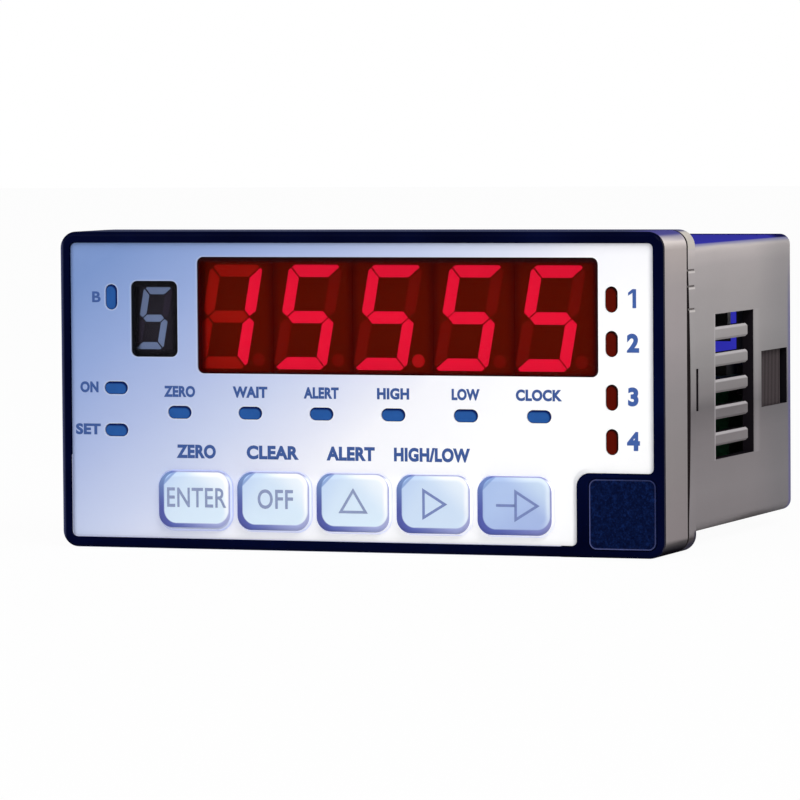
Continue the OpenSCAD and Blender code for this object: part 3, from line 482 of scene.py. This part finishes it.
def label_finish():
    """Printed film: periwinkle in the upper left corner, fading to white down to the right."""
    finish = Finish("printed_label", Coat_Weight=0.1, Coat_Roughness=0.3, Specular_IOR_Level=0.3)
    point, (x, _, z) = finish.place()
    cloud = finish.noise(point, 0.05, 2.0)
    fade = (x - z * 1.33 + (cloud - 0.5) * 4.0 + 67.0) / 96.0
    ink = finish.stops(
        fade,
        [
            (0.0, rgb("7490c6")),
            (0.2, rgb("90a5d5")),
            (0.38, rgb("acbae0")),
            (0.56, rgb("c8d1eb")),
            (0.70, rgb("e1e4f3")),
            (0.80, rgb("f6f6fb")),
            (1.0, rgb("ffffff")),
        ],
    )
    # soft shade beside the rim and the corner block
    right = x.ramp(LABEL[1].x - 0.9, LABEL[1].x) * 0.3
    left = x.ramp(LABEL[0].x + 0.7, LABEL[0].x) * 0.35
    block = rounded_box(x - 41.4, z + 18.2, 7.3, 7.1, 2.0).ramp(0.4, 0.0) * x.ramp(37.0, 34.0) * 0.25
    upper = z.ramp(LABEL[1].z - 2.0, LABEL[1].z) * 0.08
    shade = right.most(left).most(block).most(upper)
    ink = finish.blend(shade, ink, rgb("39406a"))
    # painted highlight along the cut edge round the windows and the pipes
    opening = window_distance(x, z).least(pipe_distance(x, z))
    edge = 1 - opening.ramp(0.1, 0.34)
    ink = finish.blend(edge * 0.2, ink, rgb("ffffff"))
    fine = finish.noise(point, 3.0, 3.0)
    finish.set("Base Color", finish.tinted(ink, (fine - 0.5) * 0.01 + 0.995))
    finish.set("Roughness", (fine - 0.5) * 0.1 + 0.5)
    finish.set("Normal", finish.bump(fine, 0.003))
    return finish


def window_distance(x, z):
    """Distance from the nearer window's outline."""
    large = rounded_box(x - WINDOW.x, z - WINDOW.z, *WINDOW_HALF, WINDOW_R)
    small = rounded_box(x - SMALL.x, z - SMALL.z, *SMALL_HALF, WINDOW_R)
    return large.least(small)


def lying_pipe(u, v):
    return rounded_box(u, v, PIPE_LONG, PIPE_SHORT, PIPE_SHORT)


def upright_pipe(u, v):
    return rounded_box(u, v, PIPE_SHORT, PIPE_LONG, PIPE_SHORT)


def pipe_distance(x, z):
    """Distance from the nearest light pipe's outline."""
    distance = lying_pipe((x - SLOT_X / 2).wrapped(SLOT_X), z - FUNCTION_Z)
    distance = distance.most(abs(x) - 31.0)
    for row in MODE_ROWS:
        distance = distance.least(lying_pipe(x - MODE_X, z - row))
    distance = distance.least(upright_pipe(x - MODE_X + 0.65, z - UPRIGHT_Z))
    for row in OUTPUT_ROWS:
        distance = distance.least(upright_pipe(x - OUTPUT_X, z - row))
    return distance


def pipe_finish(name, colour, dark):
    """Glossy light pipe, darker along its upper right side where its recess shades it."""
    finish = Finish(name, Coat_Weight=0.05, Coat_Roughness=0.1, Specular_IOR_Level=0.0)
    point, (x, _, z) = finish.place()
    inner = pipe_distance(x + 0.24, z + 0.2)
    cloud = finish.noise(point, 0.7, 2.0)
    body = finish.tinted(colour, (cloud - 0.5) * 0.25 + 1.0)
    finish.set("Base Color", finish.blend(inner.ramp(-0.22, 0.1), body, dark))
    finish.set("Roughness", (cloud - 0.5) * 0.1 + 0.25)
    return finish


def key_finish(number):
    """Icy cap with painted light and shade: a pale lit plateau with painted cut left corners, inside a
    rim in painted violet-blue shade at the left and foot.
    """
    finish = Finish(f"icy_key_{number}", Coat_Weight=0.05, Coat_Roughness=0.08, Specular_IOR_Level=0.1)
    point, (x, y, z) = finish.place()
    centre, half = middle_and_half(f"key_{number}")
    u, v = x - centre.x, z - centre.z
    blue = 1.0 if number == 5 else 0.25 if number == 4 else 0.0
    cloud = finish.noise(point, 0.25, 2.0)

    def tone(pale, deep):
        return tuple(p + (d - p) * blue for p, d in zip(rgb(pale), rgb(deep)))

    # plateau: pale blue, deeper at the upper left, with painted light and a painted white highlight
    # towards the upper right
    middle_glow = ((u * 0.05 - v * 0.1) + (cloud - 0.5) * 0.5 + 0.35).ramp(0.0, 1.0)
    top = finish.blend(middle_glow, tone("d4e5f6", "b0c5ea"), tone("dcedf9", "a4b6e1"))
    corner = (u - v * 0.6).ramp(-2.0, -7.0) * 0.6
    top = finish.blend(corner, top, tone("b9d0f2", "a6bde7"))
    plateau = rounded_box(u - 0.4, v - 0.45, 5.2, 3.85, 2.0)
    lit_side = (u + v).ramp(2.0, 8.0) * 0.8
    top = finish.blend(lit_side, top, tone("f6fbff", "d0e2f4"))
    bright_side = (u + v * 0.8).ramp(1.0, 6.5)
    gleam = plateau.ramp(-0.9, -0.15) * bright_side
    top = finish.blend(gleam, top, tone("ffffff", "dce9f8"))

    # rim in painted shade: dark at the left, lighter along the foot, with a painted highlight as a pale
    # line at the right and top
    rightward = (u / half.x).ramp(-0.7, 0.95)
    foot = finish.blend(rightward, tone("5a66b0", "5560ac"), tone("a9b0dc", "8288c4"))
    upward = (v / half.z).ramp(-0.3, 0.9)
    left = finish.blend(upward, tone("525aa2", "515aa6"), tone("7590c0", "6c84be"))
    rim = finish.blend(u.ramp(-4.6, -3.0), left, foot)
    rim = finish.blend((u + v * 0.4).ramp(3.0, 4.4), rim, tone("acb0d8", "8c8fc6"))
    upper = v.ramp(3.5, 3.9) * u.ramp(-3.8, -2.6)
    rim = finish.blend(upper, rim, tone("a0a5ca", "868cc0"))

    # painted corner facets of the left side, the upper one painted lit and the lower one painted in
    # shade, with a blue crease of painted shade under the upper one
    upper_cut = (v - u) * 0.7071 - 5.42
    lower_cut = (u + v) * -0.7071 - 5.38
    face = finish.blend(upper_cut.ramp(-0.06, 0.1), top, tone("b6d3fb", "93b6e8"))
    crease = abs(upper_cut + 0.16).ramp(0.3, 0.1)
    face = finish.blend(crease * 0.9, face, rgb("86a1d4"))
    face = finish.blend(lower_cut.ramp(-0.1, 0.1), face, tone("7d8ecb", "6a7bc2"))
    face = finish.blend(plateau.ramp(-0.1, 0.1), face, rim)

    # painted light: a soft pale edge where the cap meets the label, widest at the foot, and a skirt in
    # the label's colour
    around = rgb(["ccd4ee", "dbe0f2", "e8eaf6", "eeeff8", "f0f1f9"][number - 1])
    lift = 0.2 if number == 1 else 0.0
    edge = rounded_box(u, v - lift, half.x - 0.12, 4.25, 2.3).ramp(-0.05, 0.1)
    face = finish.blend(edge * v.ramp(3.6, 2.8) * 0.9, face, around)
    skirt = y.over(LABEL_FRONT - 0.6) * v.ramp(4.2, 3.4)
    skirt = skirt.most(y.over(LABEL_FRONT - 0.1))
    face = finish.blend(skirt, face, around)

    fine = finish.noise(point, 2.5, 2.0)
    finish.set("Base Color", face)
    # the skirt's painted glow
    finish.set("Emission Color", finish.blend(skirt, (0, 0, 0, 1), around))
    finish.set("Emission Strength", 0.3)
    finish.set("Roughness", (fine - 0.5) * 0.08 + 0.25)
    finish.set("Normal", finish.bump(cloud, 0.02))
    return finish


def window_finish(name, colour, edge_shade_colour, centre, half):
    """Tinted gloss sheet, with painted shade under its upper and right edges."""
    finish = Finish(name, Coat_Weight=0.1, Coat_Roughness=0.05, Specular_IOR_Level=0.0)
    point, (x, _, z) = finish.place()
    edge = rounded_box(x - centre.x + 0.15, z - centre.z + 0.3, *half, WINDOW_R)
    band = edge.ramp(-0.75, 0.0)
    cloud = finish.noise(point, 0.08, 2.0)
    body = finish.tinted(colour, (cloud - 0.5) * 0.3 + 1.0)
    finish.set("Base Color", finish.blend(band, body, edge_shade_colour))
    finish.set("Alpha", band * 0.55 + 0.3)
    finish.set("Roughness", (cloud - 0.5) * 0.06 + 0.16)
    return finish


def module_finish(name, module, face, gap):
    """Face of a digit module, darker towards its neighbours, with a faint painted glow."""
    finish = Finish(name, Roughness=0.5, Specular_IOR_Level=0.0, Emission_Strength=0.3)
    point, (x, _, z) = finish.place()
    centre, half = middle_and_half(module)
    edge = rounded_box(x - centre.x, z - centre.z, half.x, half.z, 0.4)
    fine = finish.noise(point, 1.2, 3.0)
    body = finish.blend(edge.ramp(-1.2, -0.1), face, gap)
    colour = finish.tinted(body, (fine - 0.5) * 0.2 + 1.0)
    finish.set("Base Color", colour)
    finish.set("Emission Color", colour)
    finish.set("Normal", finish.bump(fine, 0.01))
    return finish


def segment_finish(name, colour, strength):
    """Diffusing segment, a little uneven in its light."""
    finish = Finish(name, Roughness=0.5, Emission_Strength=strength, Specular_IOR_Level=0.0)
    point, _ = finish.place()
    cloud = finish.noise(point, 0.35, 1.0)
    tone = finish.tinted(colour, (cloud - 0.5) * 0.12 + 1.0)
    finish.set("Base Color", tone)
    finish.set("Emission Color", tone)
    return finish


# ---- inner parts and metals ----


def bobbin_finish(colour, side):
    """Blue plastic with a painted glow so that it shows in the case's dark, with painted shade on its
    side and over a band of it.
    """
    finish = Finish("bobbin_blue", Emission_Strength=0.8, Specular_IOR_Level=0.2)
    point, (x, _, z) = finish.place()
    fine = finish.noise(point, 2.0, 3.0)
    # painted shade over a band of it and on its side
    shaded_band = x.under(side - 1.0) * abs(z - 7.8).under(2.05)
    dark = x.ramp(side - 0.14, side - 0.06).most(shaded_band)
    shade = finish.blend(dark, colour, rgb("08080c"))
    finish.set("Base Color", finish.tinted(shade, (fine - 0.5) * 0.1 + 1.0))
    finish.set("Emission Color", shade)
    finish.set("Roughness", (fine - 0.5) * 0.1 + 0.4)
    return finish


def board_finish():
    """Green lacquer over copper tracks."""
    finish = Finish("green_board")
    point, (x, y, z) = finish.place()
    tracks = abs((x * 0.5 + finish.noise(point, 0.08, 1.0) * 3.0).wrapped(1.27)).under(0.14)
    lanes = abs((y * 0.5 + z * 0.5).wrapped(2.54)).under(0.2)
    copper = tracks.most(lanes) * 0.6
    fine = finish.noise(point, 1.0, 3.0)
    finish.set("Base Color", finish.blend(copper, rgb("0a2818"), rgb("1e4a2a")))
    finish.set("Roughness", (fine - 0.5) * 0.1 + 0.34)
    finish.set("Normal", finish.bump(copper, 0.03))
    return finish


def metal_finish(name, colour, roughness, grain):
    """Bare metal with a fine uneven shine."""
    finish = Finish(name, Metallic=1.0)
    point, _ = finish.place()
    fine = finish.noise(point, grain, 3.0, 0.6)
    finish.set("Base Color", finish.tinted(colour, (fine - 0.5) * 0.25 + 1.0))
    finish.set("Roughness", (fine - 0.5) * 0.2 + roughness)
    finish.set("Normal", finish.bump(fine, 0.01))
    return finish


def can_finish():
    """Dark sleeve with a pale stripe down one side and a bare top."""
    finish = Finish("capacitor_sleeve")
    point, (_, y, z) = finish.place()
    low, high = [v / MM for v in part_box("capacitor_1")]
    top = z.over(high.z - 0.3)
    stripe = y.under(low.y + 0.6)
    fine = finish.noise(point, 2.0, 2.0)
    sleeve = finish.blend(stripe, rgb("1a1f2b"), rgb("a9adb8"))
    finish.set("Base Color", finish.blend(top, sleeve, rgb("b4b6ba")))
    finish.set("Metallic", top * 0.9)
    finish.set("Roughness", (fine - 0.5) * 0.1 + 0.35)
    return finish


def dress(finish, *names):
    """Gives a finish to solids of the frame."""
    for name in names:
        nodes[name].data.materials.clear()
        nodes[name].data.materials.append(finish.material)


dress(moulded("warm_grey_case", None, 0.45, paint=case_skin), "case")
dress(moulded("warm_grey_frame", None, 0.45, paint=frame_skin), "front_frame")
dress(moulded("seal_rubber", rgb("1c1819"), 0.7, grain=0.2), "case_seal", "panel_gasket")
dress(bezel_finish(), "fascia")
dress(insert_finish(), "corner_insert")
dress(label_finish(), "front_label")
red_sheet = window_finish("red_window", rgb("450200"), rgb("220204"), WINDOW, WINDOW_HALF)
smoke_sheet = window_finish("smoke_window", rgb("17171b"), rgb("0c0b0e"), SMALL, SMALL_HALF)
dress(red_sheet, "main_window")
dress(smoke_sheet, "small_window")
for number in range(1, 6):
    dress(key_finish(number), f"key_{number}")
    module = f"digit_{number}"
    dress(module_finish(f"red_module_{number}", module, rgb("6c1402"), rgb("4c0703")), module)
dress(module_finish("dark_module", "small_digit", rgb("38333e"), rgb("201d24")), "small_digit")
blue_pipe = pipe_finish("blue_pipe", rgb("27569a"), rgb("0c1e58"))
dress(blue_pipe, "mode_light_bar", "function_light_bar")
dress(pipe_finish("red_pipe", rgb("560b01"), rgb("1e0302")), "output_light_bar")

dress(board_finish(), "display_board", "power_board", "main_board")
dress(moulded("black_plastic", rgb("17171a"), 0.45), "upper_link", "lower_link", "processor")
dress(moulded("relay_black", rgb("1b1b1d"), 0.35), *[f"relay_{i}" for i in range(1, 5)])
dress(moulded("switch_black", rgb("1a1a1c"), 0.5), *[f"switch_{i}" for i in range(1, 6)])
dress(moulded("plunger_grey", rgb("6c6c70"), 0.5), *[f"plunger_{i}" for i in range(1, 6)])
dress(moulded("led_white", rgb("e8e6dc"), 0.3), "status_leds")
bobbin_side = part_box("transformer_bobbin")[1].x / MM
dress(bobbin_finish(rgb("3030b0"), bobbin_side), "transformer_bobbin")
dress(moulded("tape_grey", rgb("b9b9bd"), 0.6), "transformer_strip")
dress(moulded("ferrite", rgb("232224"), 0.6, grain=0.15, mottle=0.3), "transformer_core")
dress(can_finish(), "capacitor_1", "capacitor_2")
dress(moulded("terminal_green", rgb("2c6a48"), 0.4), "terminal_block_upper", "terminal_block_lower")
dress(metal_finish("bright_steel", rgb("c6c7c9"), 0.3, 3.0), "terminal_screws", "board_screws")
dress(metal_finish("clamp_brass", rgb("c8a25a"), 0.35, 2.0), "terminal_clamps")


# ---- lit and unlit segments ----


def only(piece):
    """Selects one object alone and makes it active."""
    bpy.ops.object.select_all(action="DESELECT")
    piece.select_set(True)
    bpy.context.view_layer.objects.active = piece


def loose_parts(node):
    """Copies a node's solids as objects of their own."""
    copy = nodes[node].copy()
    copy.data = nodes[node].data.copy()
    copy.parent = None
    for key in list(copy.keys()):
        del copy[key]
    bpy.context.scene.collection.objects.link(copy)
    only(copy)
    bpy.ops.object.mode_set(mode="EDIT")
    bpy.ops.mesh.select_all(action="SELECT")
    bpy.ops.mesh.remove_doubles(threshold=0.001 * MM)
    bpy.ops.mesh.separate(type="LOOSE")
    bpy.ops.object.mode_set(mode="OBJECT")
    return list(bpy.context.selected_objects)


def spread(part):
    """Widens a lit segment a little, as its light does, so that only fine joints stay dark."""
    spot = sum((v.co for v in part.data.vertices), Vector()) / len(part.data.vertices)
    grown = Matrix.Translation(spot) @ Matrix.Diagonal((1.035, 1.0, 1.035, 1.0))
    part.data.transform(grown @ Matrix.Translation(-spot))
    return part


def joined(parts, name, finish):
    """Joins parts into one piece with one finish."""
    only(parts[0])
    for part in parts:
        part.select_set(True)
    if len(parts) > 1:
        bpy.ops.object.join()
    piece = bpy.context.view_layer.objects.active
    piece.name = piece.data.name = name
    piece.data.materials.clear()
    piece.data.materials.append(finish.material)
    return piece


def place_in_character(part, centre, half_height):
    """Which segment of the character a part is."""
    spot = sum((v.co for v in part.data.vertices), Vector()) / len(part.data.vertices) / MM
    v = (spot.z - centre.z) / half_height
    u = (spot.x - centre.x - (spot.z - centre.z) * SLANT) / half_height
    if u > 0.62:
        return "point"
    row = "upper" if v > 0.15 else "lower" if v < -0.15 else "middle"
    if abs(u) < 0.2:
        return {"upper": "top", "middle": "bar", "lower": "foot"}[row]
    return row + ("_right" if u > 0 else "_left")


SLANT = math.tan(math.radians(10))
DIGIT_HALF = 7.75
SMALL_DIGIT_HALF = 4.7
ONE = {"upper_right", "lower_right"}
FIVE = {"top", "upper_left", "bar", "lower_right", "foot"}

lit_red = segment_finish("lit_red", rgb("ee1538"), 1.25)
half_lit_red = segment_finish("half_lit_red", rgb("d2181c"), 0.55)
# faint_red, unlit_red and unlit_grey are for segments that are not lit, and their glow is painted light
faint_red = segment_finish("faint_red", rgb("c41c12"), 0.45)
unlit_red = segment_finish("unlit_red", rgb("90160c"), 0.35)
lit_grey = segment_finish("lit_grey", rgb("8496c0"), 0.75)
unlit_grey = segment_finish("unlit_grey", rgb("4c4256"), 0.2)

for number, lit in enumerate([ONE, FIVE, FIVE, FIVE, FIVE], start=1):
    centre = middle(f"digit_{number}") + Vector((-0.8, 0, -0.3))
    solids = loose_parts(f"segments_{number}")
    parts = {place_in_character(p, centre, DIGIT_HALF): p for p in solids}
    bright = [spread(p) for k, p in parts.items() if k in lit]
    bright = joined(bright, f"lit_segments_{number}", lit_red)
    faint = joined(
        [p for k, p in parts.items() if k not in lit and k != "point"],
        f"unlit_segments_{number}",
        faint_red if number == 1 else unlit_red,
    )
    point_red = half_lit_red if number == 3 else unlit_red
    point = joined([parts["point"]], f"decimal_point_{number}", point_red)
    for piece in (bright, faint, point):
        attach(piece, "meter")
    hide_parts(f"segments_{number}")

centre = middle("small_digit")
solids = loose_parts("small_segments")
parts = {place_in_character(p, centre, SMALL_DIGIT_HALF): p for p in solids}
bright = [spread(p) for k, p in parts.items() if k in FIVE]
bright = joined(bright, "small_lit_segments", lit_grey)
faint = joined([p for k, p in parts.items() if k not in FIVE], "small_unlit_segments", unlit_grey)
for piece in (bright, faint):
    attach(piece, "meter")
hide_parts("small_segments")


# ---- print ----

PRINT = 0.02  # thickness of printed ink
BLANK = 0.05  # thickness of a mark before it is settled
LEGEND_LINE = 0.4  # line of the key symbols
KEY_WORD_Z = -9.2


def settle(piece, x, z, width, height, front):
    """Stands a flat mesh in the front plane, its box at a place and size in millimetres.

    Without a width it keeps its proportions.
    """
    mesh = piece.data
    mesh.transform(Matrix.Rotation(math.pi / 2, 4, "X"))
    low = Vector(min(v.co[i] for v in mesh.vertices) for i in range(3))
    high = Vector(max(v.co[i] for v in mesh.vertices) for i in range(3))
    size = high - low
    stretch = height / size.z
    scale = (width / size.x if width else stretch, PRINT / size.y, stretch)
    mesh.transform(Matrix.Translation(-(low + high) / 2))
    mesh.transform(Matrix.Diagonal((*scale, 1.0)))
    mesh.transform(Matrix.Translation((x, front - PRINT / 2, z)))
    mesh.transform(Matrix.Scale(MM, 4))
    piece.matrix_world = Matrix.Identity(4)
    return piece


def word(text, x, z, width, height, front=LABEL_FRONT, bold=0.05):
    """A printed word that fills a box."""
    bpy.ops.object.select_all(action="DESELECT")
    bpy.ops.object.text_add(location=(0, 0, 0))
    letters = bpy.context.object
    letters.data.body = text
    letters.data.resolution_u = 5
    letters.data.offset = bold
    letters.data.extrude = BLANK
    letters.data.space_character = 1.06
    bpy.ops.object.convert(target="MESH")
    return settle(bpy.context.object, x, z, width, height, front)


def outline_triangle(x, z, width, height, pointing, front):
    """A triangle drawn as a line of even width."""
    bpy.ops.object.select_all(action="DESELECT")
    bpy.ops.mesh.primitive_circle_add(vertices=3, radius=1.0, fill_type="NGON")
    piece = bpy.context.object
    if pointing == "right":
        piece.data.transform(Matrix.Rotation(-math.pi / 2, 4, "Z"))
    low = Vector(min(v.co[i] for v in piece.data.vertices) for i in range(3))
    high = Vector(max(v.co[i] for v in piece.data.vertices) for i in range(3))
    size = high - low
    piece.data.transform(Matrix.Diagonal((width / size.x, height / size.y, 1, 1)))
    bpy.ops.object.mode_set(mode="EDIT")
    bpy.ops.mesh.select_all(action="SELECT")
    bpy.ops.mesh.inset(thickness=LEGEND_LINE, depth=0)
    bpy.ops.mesh.delete(type="FACE")
    bpy.ops.mesh.select_all(action="SELECT")
    bpy.ops.mesh.extrude_region_move(TRANSFORM_OT_translate={"value": (0, 0, BLANK)})
    bpy.ops.mesh.select_all(action="SELECT")
    bpy.ops.mesh.normals_make_consistent(inside=False)
    bpy.ops.object.mode_set(mode="OBJECT")
    return settle(piece, x, z, width, height, front)


def thickened(piece):
    """Gives a flat outline its thickness, with every face outwards."""
    only(piece)
    bpy.ops.object.mode_set(mode="EDIT")
    bpy.ops.mesh.select_all(action="SELECT")
    bpy.ops.mesh.solidify(thickness=BLANK)
    bpy.ops.mesh.select_all(action="SELECT")
    bpy.ops.mesh.normals_make_consistent(inside=False)
    bpy.ops.object.mode_set(mode="OBJECT")
    return piece


def edge_of(piece, side, lowest):
    """Selects the edges on one side of a flat piece, from a height up."""
    bpy.ops.object.mode_set(mode="OBJECT")
    for edge in piece.data.edges:
        ends = [piece.data.vertices[i].co for i in edge.vertices]
        edge.select = all(abs(c.x - side) < 1e-4 and c.y > lowest - 1e-4 for c in ends)
    bpy.ops.object.mode_set(mode="EDIT")


def arrow_shaft(x, z, width, front):
    """A printed bar of the legends' line, pointed at its rear end."""
    ratio = width / LEGEND_LINE
    bpy.ops.object.select_all(action="DESELECT")
    bpy.ops.mesh.primitive_plane_add(size=1)
    piece = bpy.context.object
    piece.data.transform(Matrix.Diagonal((ratio, 1, 1, 1)))
    bpy.ops.object.mode_set(mode="EDIT")
    bpy.ops.mesh.select_mode(type="EDGE")
    bpy.ops.mesh.select_all(action="DESELECT")
    edge_of(piece, -ratio / 2, -0.5)
    bpy.ops.mesh.extrude_region_move(TRANSFORM_OT_translate={"value": (-0.15, 0, 0)})
    bpy.ops.transform.resize(value=(1, 0.6, 1))
    bpy.ops.object.mode_set(mode="OBJECT")
    return settle(thickened(piece), x, z, width, LEGEND_LINE, front)


def numeral_one(x, z, height, front):
    """A bold figure one: a stem with a slanting flag at its top left."""
    bpy.ops.object.select_all(action="DESELECT")
    bpy.ops.mesh.primitive_plane_add(size=1)
    piece = bpy.context.object
    piece.data.transform(Matrix.Diagonal((0.2, 1, 1, 1)))
    bpy.ops.object.mode_set(mode="EDIT")
    bpy.ops.mesh.select_mode(type="EDGE")
    bpy.ops.mesh.select_all(action="SELECT")
    bpy.ops.mesh.subdivide(number_cuts=4)
    bpy.ops.mesh.select_all(action="DESELECT")
    edge_of(piece, -0.1, 0.3)
    bpy.ops.mesh.extrude_region_move(TRANSFORM_OT_translate={"value": (-0.24, -0.17, 0)})
    bpy.ops.transform.resize(value=(1, 0.8, 1))
    bpy.ops.object.mode_set(mode="OBJECT")
    return settle(thickened(piece), x, z, None, height, front)


def ink_finish(name, colour):
    """Screen-printed ink, a little uneven."""
    finish = Finish(name)
    point, _ = finish.place()
    fine = finish.noise(point, 2.0, 3.0)
    finish.set("Base Color", finish.tinted(colour, (fine - 0.5) * 0.3 + 1.0))
    finish.set("Roughness", (fine - 0.5) * 0.15 + 0.5)
    return finish


small_print = [
    word("B", -42.1, 14.1, 1.4, 1.65, bold=0.03),
    word("ON", -43.4, MODE_ROWS[0] + 0.1, 3.0, 1.7),
    word("SET", -43.65, MODE_ROWS[1] + 0.1, 4.1, 1.7),
]
row_words = [("ZERO", 5.1), ("WAIT", 5.6), ("ALERT", 5.6), ("HIGH", 5.1), ("LOW", 4.4), ("CLOCK", 7.2)]
for i, (text, width) in enumerate(row_words):
    small_print.append(word(text, (i - 2.5) * SLOT_X, FUNCTION_Z + 3.15, width, 1.72))
key_words = [("ZERO", -26.0, 6.4), ("CLEAR", -13.6, 8.4), ("ALERT", -1.1, 7.7), ("HIGH/LOW", 11.8, 12.0)]
for text, x, width in key_words:
    small_print.append(word(text, x, KEY_WORD_Z, width, 2.1))
label_print = joined(small_print, "label_print", ink_finish("blue_ink", rgb("1f488c")))
numerals = [numeral_one(43.1, OUTPUT_ROWS[0] + 0.15, 2.8, LABEL_FRONT)]
for text, row in zip("234", OUTPUT_ROWS[1:]):
    numerals.append(word(text, 43.2, row + 0.15, None, 2.8))
numeral_print = joined(numerals, "output_numerals", ink_finish("numeral_ink", rgb("244f99")))
for piece in (label_print, numeral_print):
    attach(piece, "meter")

key_ink = ink_finish("key_ink", rgb("8592b6"))
deep_ink = ink_finish("deep_key_ink", rgb("6f7fb4"))
for number in range(1, 6):
    centre = middle(f"key_{number}")
    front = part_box(f"key_{number}")[0].y / MM
    x, z = centre.x + 0.5, centre.z + 0.15
    if number == 1:
        marks = [word("ENTER", x, z + 0.35, 9.6, 2.95, front, bold=0.012)]
    elif number == 2:
        marks = [word("OFF", x, z + 0.3, 5.7, 2.95, front, bold=0.016)]
    elif number == 3:
        marks = [outline_triangle(x - 0.3, z + 0.3, 4.7, 3.8, "up", front)]
    elif number == 4:
        marks = [outline_triangle(x - 0.1, z, 3.95, 4.75, "right", front)]
    else:
        marks = [
            outline_triangle(x + 1.6, z, 3.95, 4.85, "right", front),
            arrow_shaft(x - 1.77, z, 2.95, front),
        ]
    legend = joined(marks, f"key_legend_{number}", deep_ink if number > 3 else key_ink)
    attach(legend, f"key_{number}")


# ---- studio ----


def seen_share(recipe):
    """1 on rays that come from the camera, a mirror or glass."""
    rays = [recipe.node("LightPath", output=i) for i in (0, 3, 6)]
    return rays[0].most(rays[1]).most(rays[2])


def studio_floor():
    """Pale floor: near white as seen, with the object's soft shadow on it."""
    bpy.ops.object.select_all(action="DESELECT")
    bpy.ops.mesh.primitive_plane_add(size=8, location=(0, 0, cad_box[0].z - 0.05 * MM))
    floor = bpy.context.object
    floor.name = "studio_floor"
    white = Finish("studio_white", Base_Color=(0.8, 0.8, 0.8, 1), Roughness=0.9)
    glow = white.node("Emission", inputs={"Color": (1, 1, 1, 1), "Strength": 1.0})
    surface = Wire(white, white.shader.outputs[0])
    mixed = white.node("MixShader", inputs={0: seen_share(white) * 0.96, 1: surface, 2: glow})
    white.tree.links.new(mixed.socket, white.tree.nodes["Material Output"].inputs[0])
    floor.data.materials.append(white.material)


def studio_world():
    """Even pale surround, white where it is seen."""
    world = bpy.data.worlds.new("studio_surround")
    bpy.context.scene.world = world
    world.use_nodes = True
    surround = Recipe(world.node_tree)
    colour = surround.blend(seen_share(surround), (0.5, 0.5, 0.505, 1), (1, 1, 1, 1))
    background = world.node_tree.nodes["Background"]
    surround.feed(background.inputs["Color"], colour)
    background.inputs["Strength"].default_value = 1.0


def softbox(name, azimuth, elevation, distance, size, power):
    """Square lamp that faces the object. Azimuth 0 is in front and 90 at the right."""
    a, e = math.radians(azimuth), math.radians(elevation)
    way = Vector((math.sin(a) * math.cos(e), -math.cos(a) * math.cos(e), math.sin(e)))
    lamp = bpy.data.lights.new(name, "AREA")
    lamp.shape, lamp.size, lamp.energy = "SQUARE", size, power
    holder = bpy.data.objects.new(name, lamp)
    turn = way.to_track_quat("Z", "Y").to_matrix().to_4x4()
    holder.matrix_world = Matrix.Translation(way * distance) @ turn
    holder.visible_camera = False
    bpy.context.scene.collection.objects.link(holder)


def camera():
    """Long lens in front, a little to the right and above."""
    yaw, pitch, roll = (math.radians(v) for v in (19.99, 2.99, -0.425))
    back = Vector((math.sin(yaw) * math.cos(pitch), -math.cos(yaw) * math.cos(pitch), math.sin(pitch)))
    right = Vector((math.cos(yaw), math.sin(yaw), 0))
    axes = Matrix((right, back.cross(right), back)).transposed()
    turn = (axes @ Matrix.Rotation(roll, 3, "Z")).to_4x4()
    lens = bpy.data.cameras.new("studio_camera")
    lens.lens, lens.sensor_width = 243.3, 36.0
    lens.clip_start, lens.clip_end = 0.01, 50.0
    holder = bpy.data.objects.new("studio_camera", lens)
    target = Vector((1.143, 0, -1.927)) * MM
    distance = 821.5 * MM
    holder.matrix_world = Matrix.Translation(target + back * distance) @ turn
    bpy.context.scene.collection.objects.link(holder)
    bpy.context.scene.camera = holder


studio_floor()
studio_world()
softbox("key_softbox", 46, 46, 1.2, 0.6, 7.0)
softbox("fill_softbox", -35, 20, 1.4, 0.9, 4.5)
camera()
bpy.context.scene.view_settings.view_transform = "Standard"
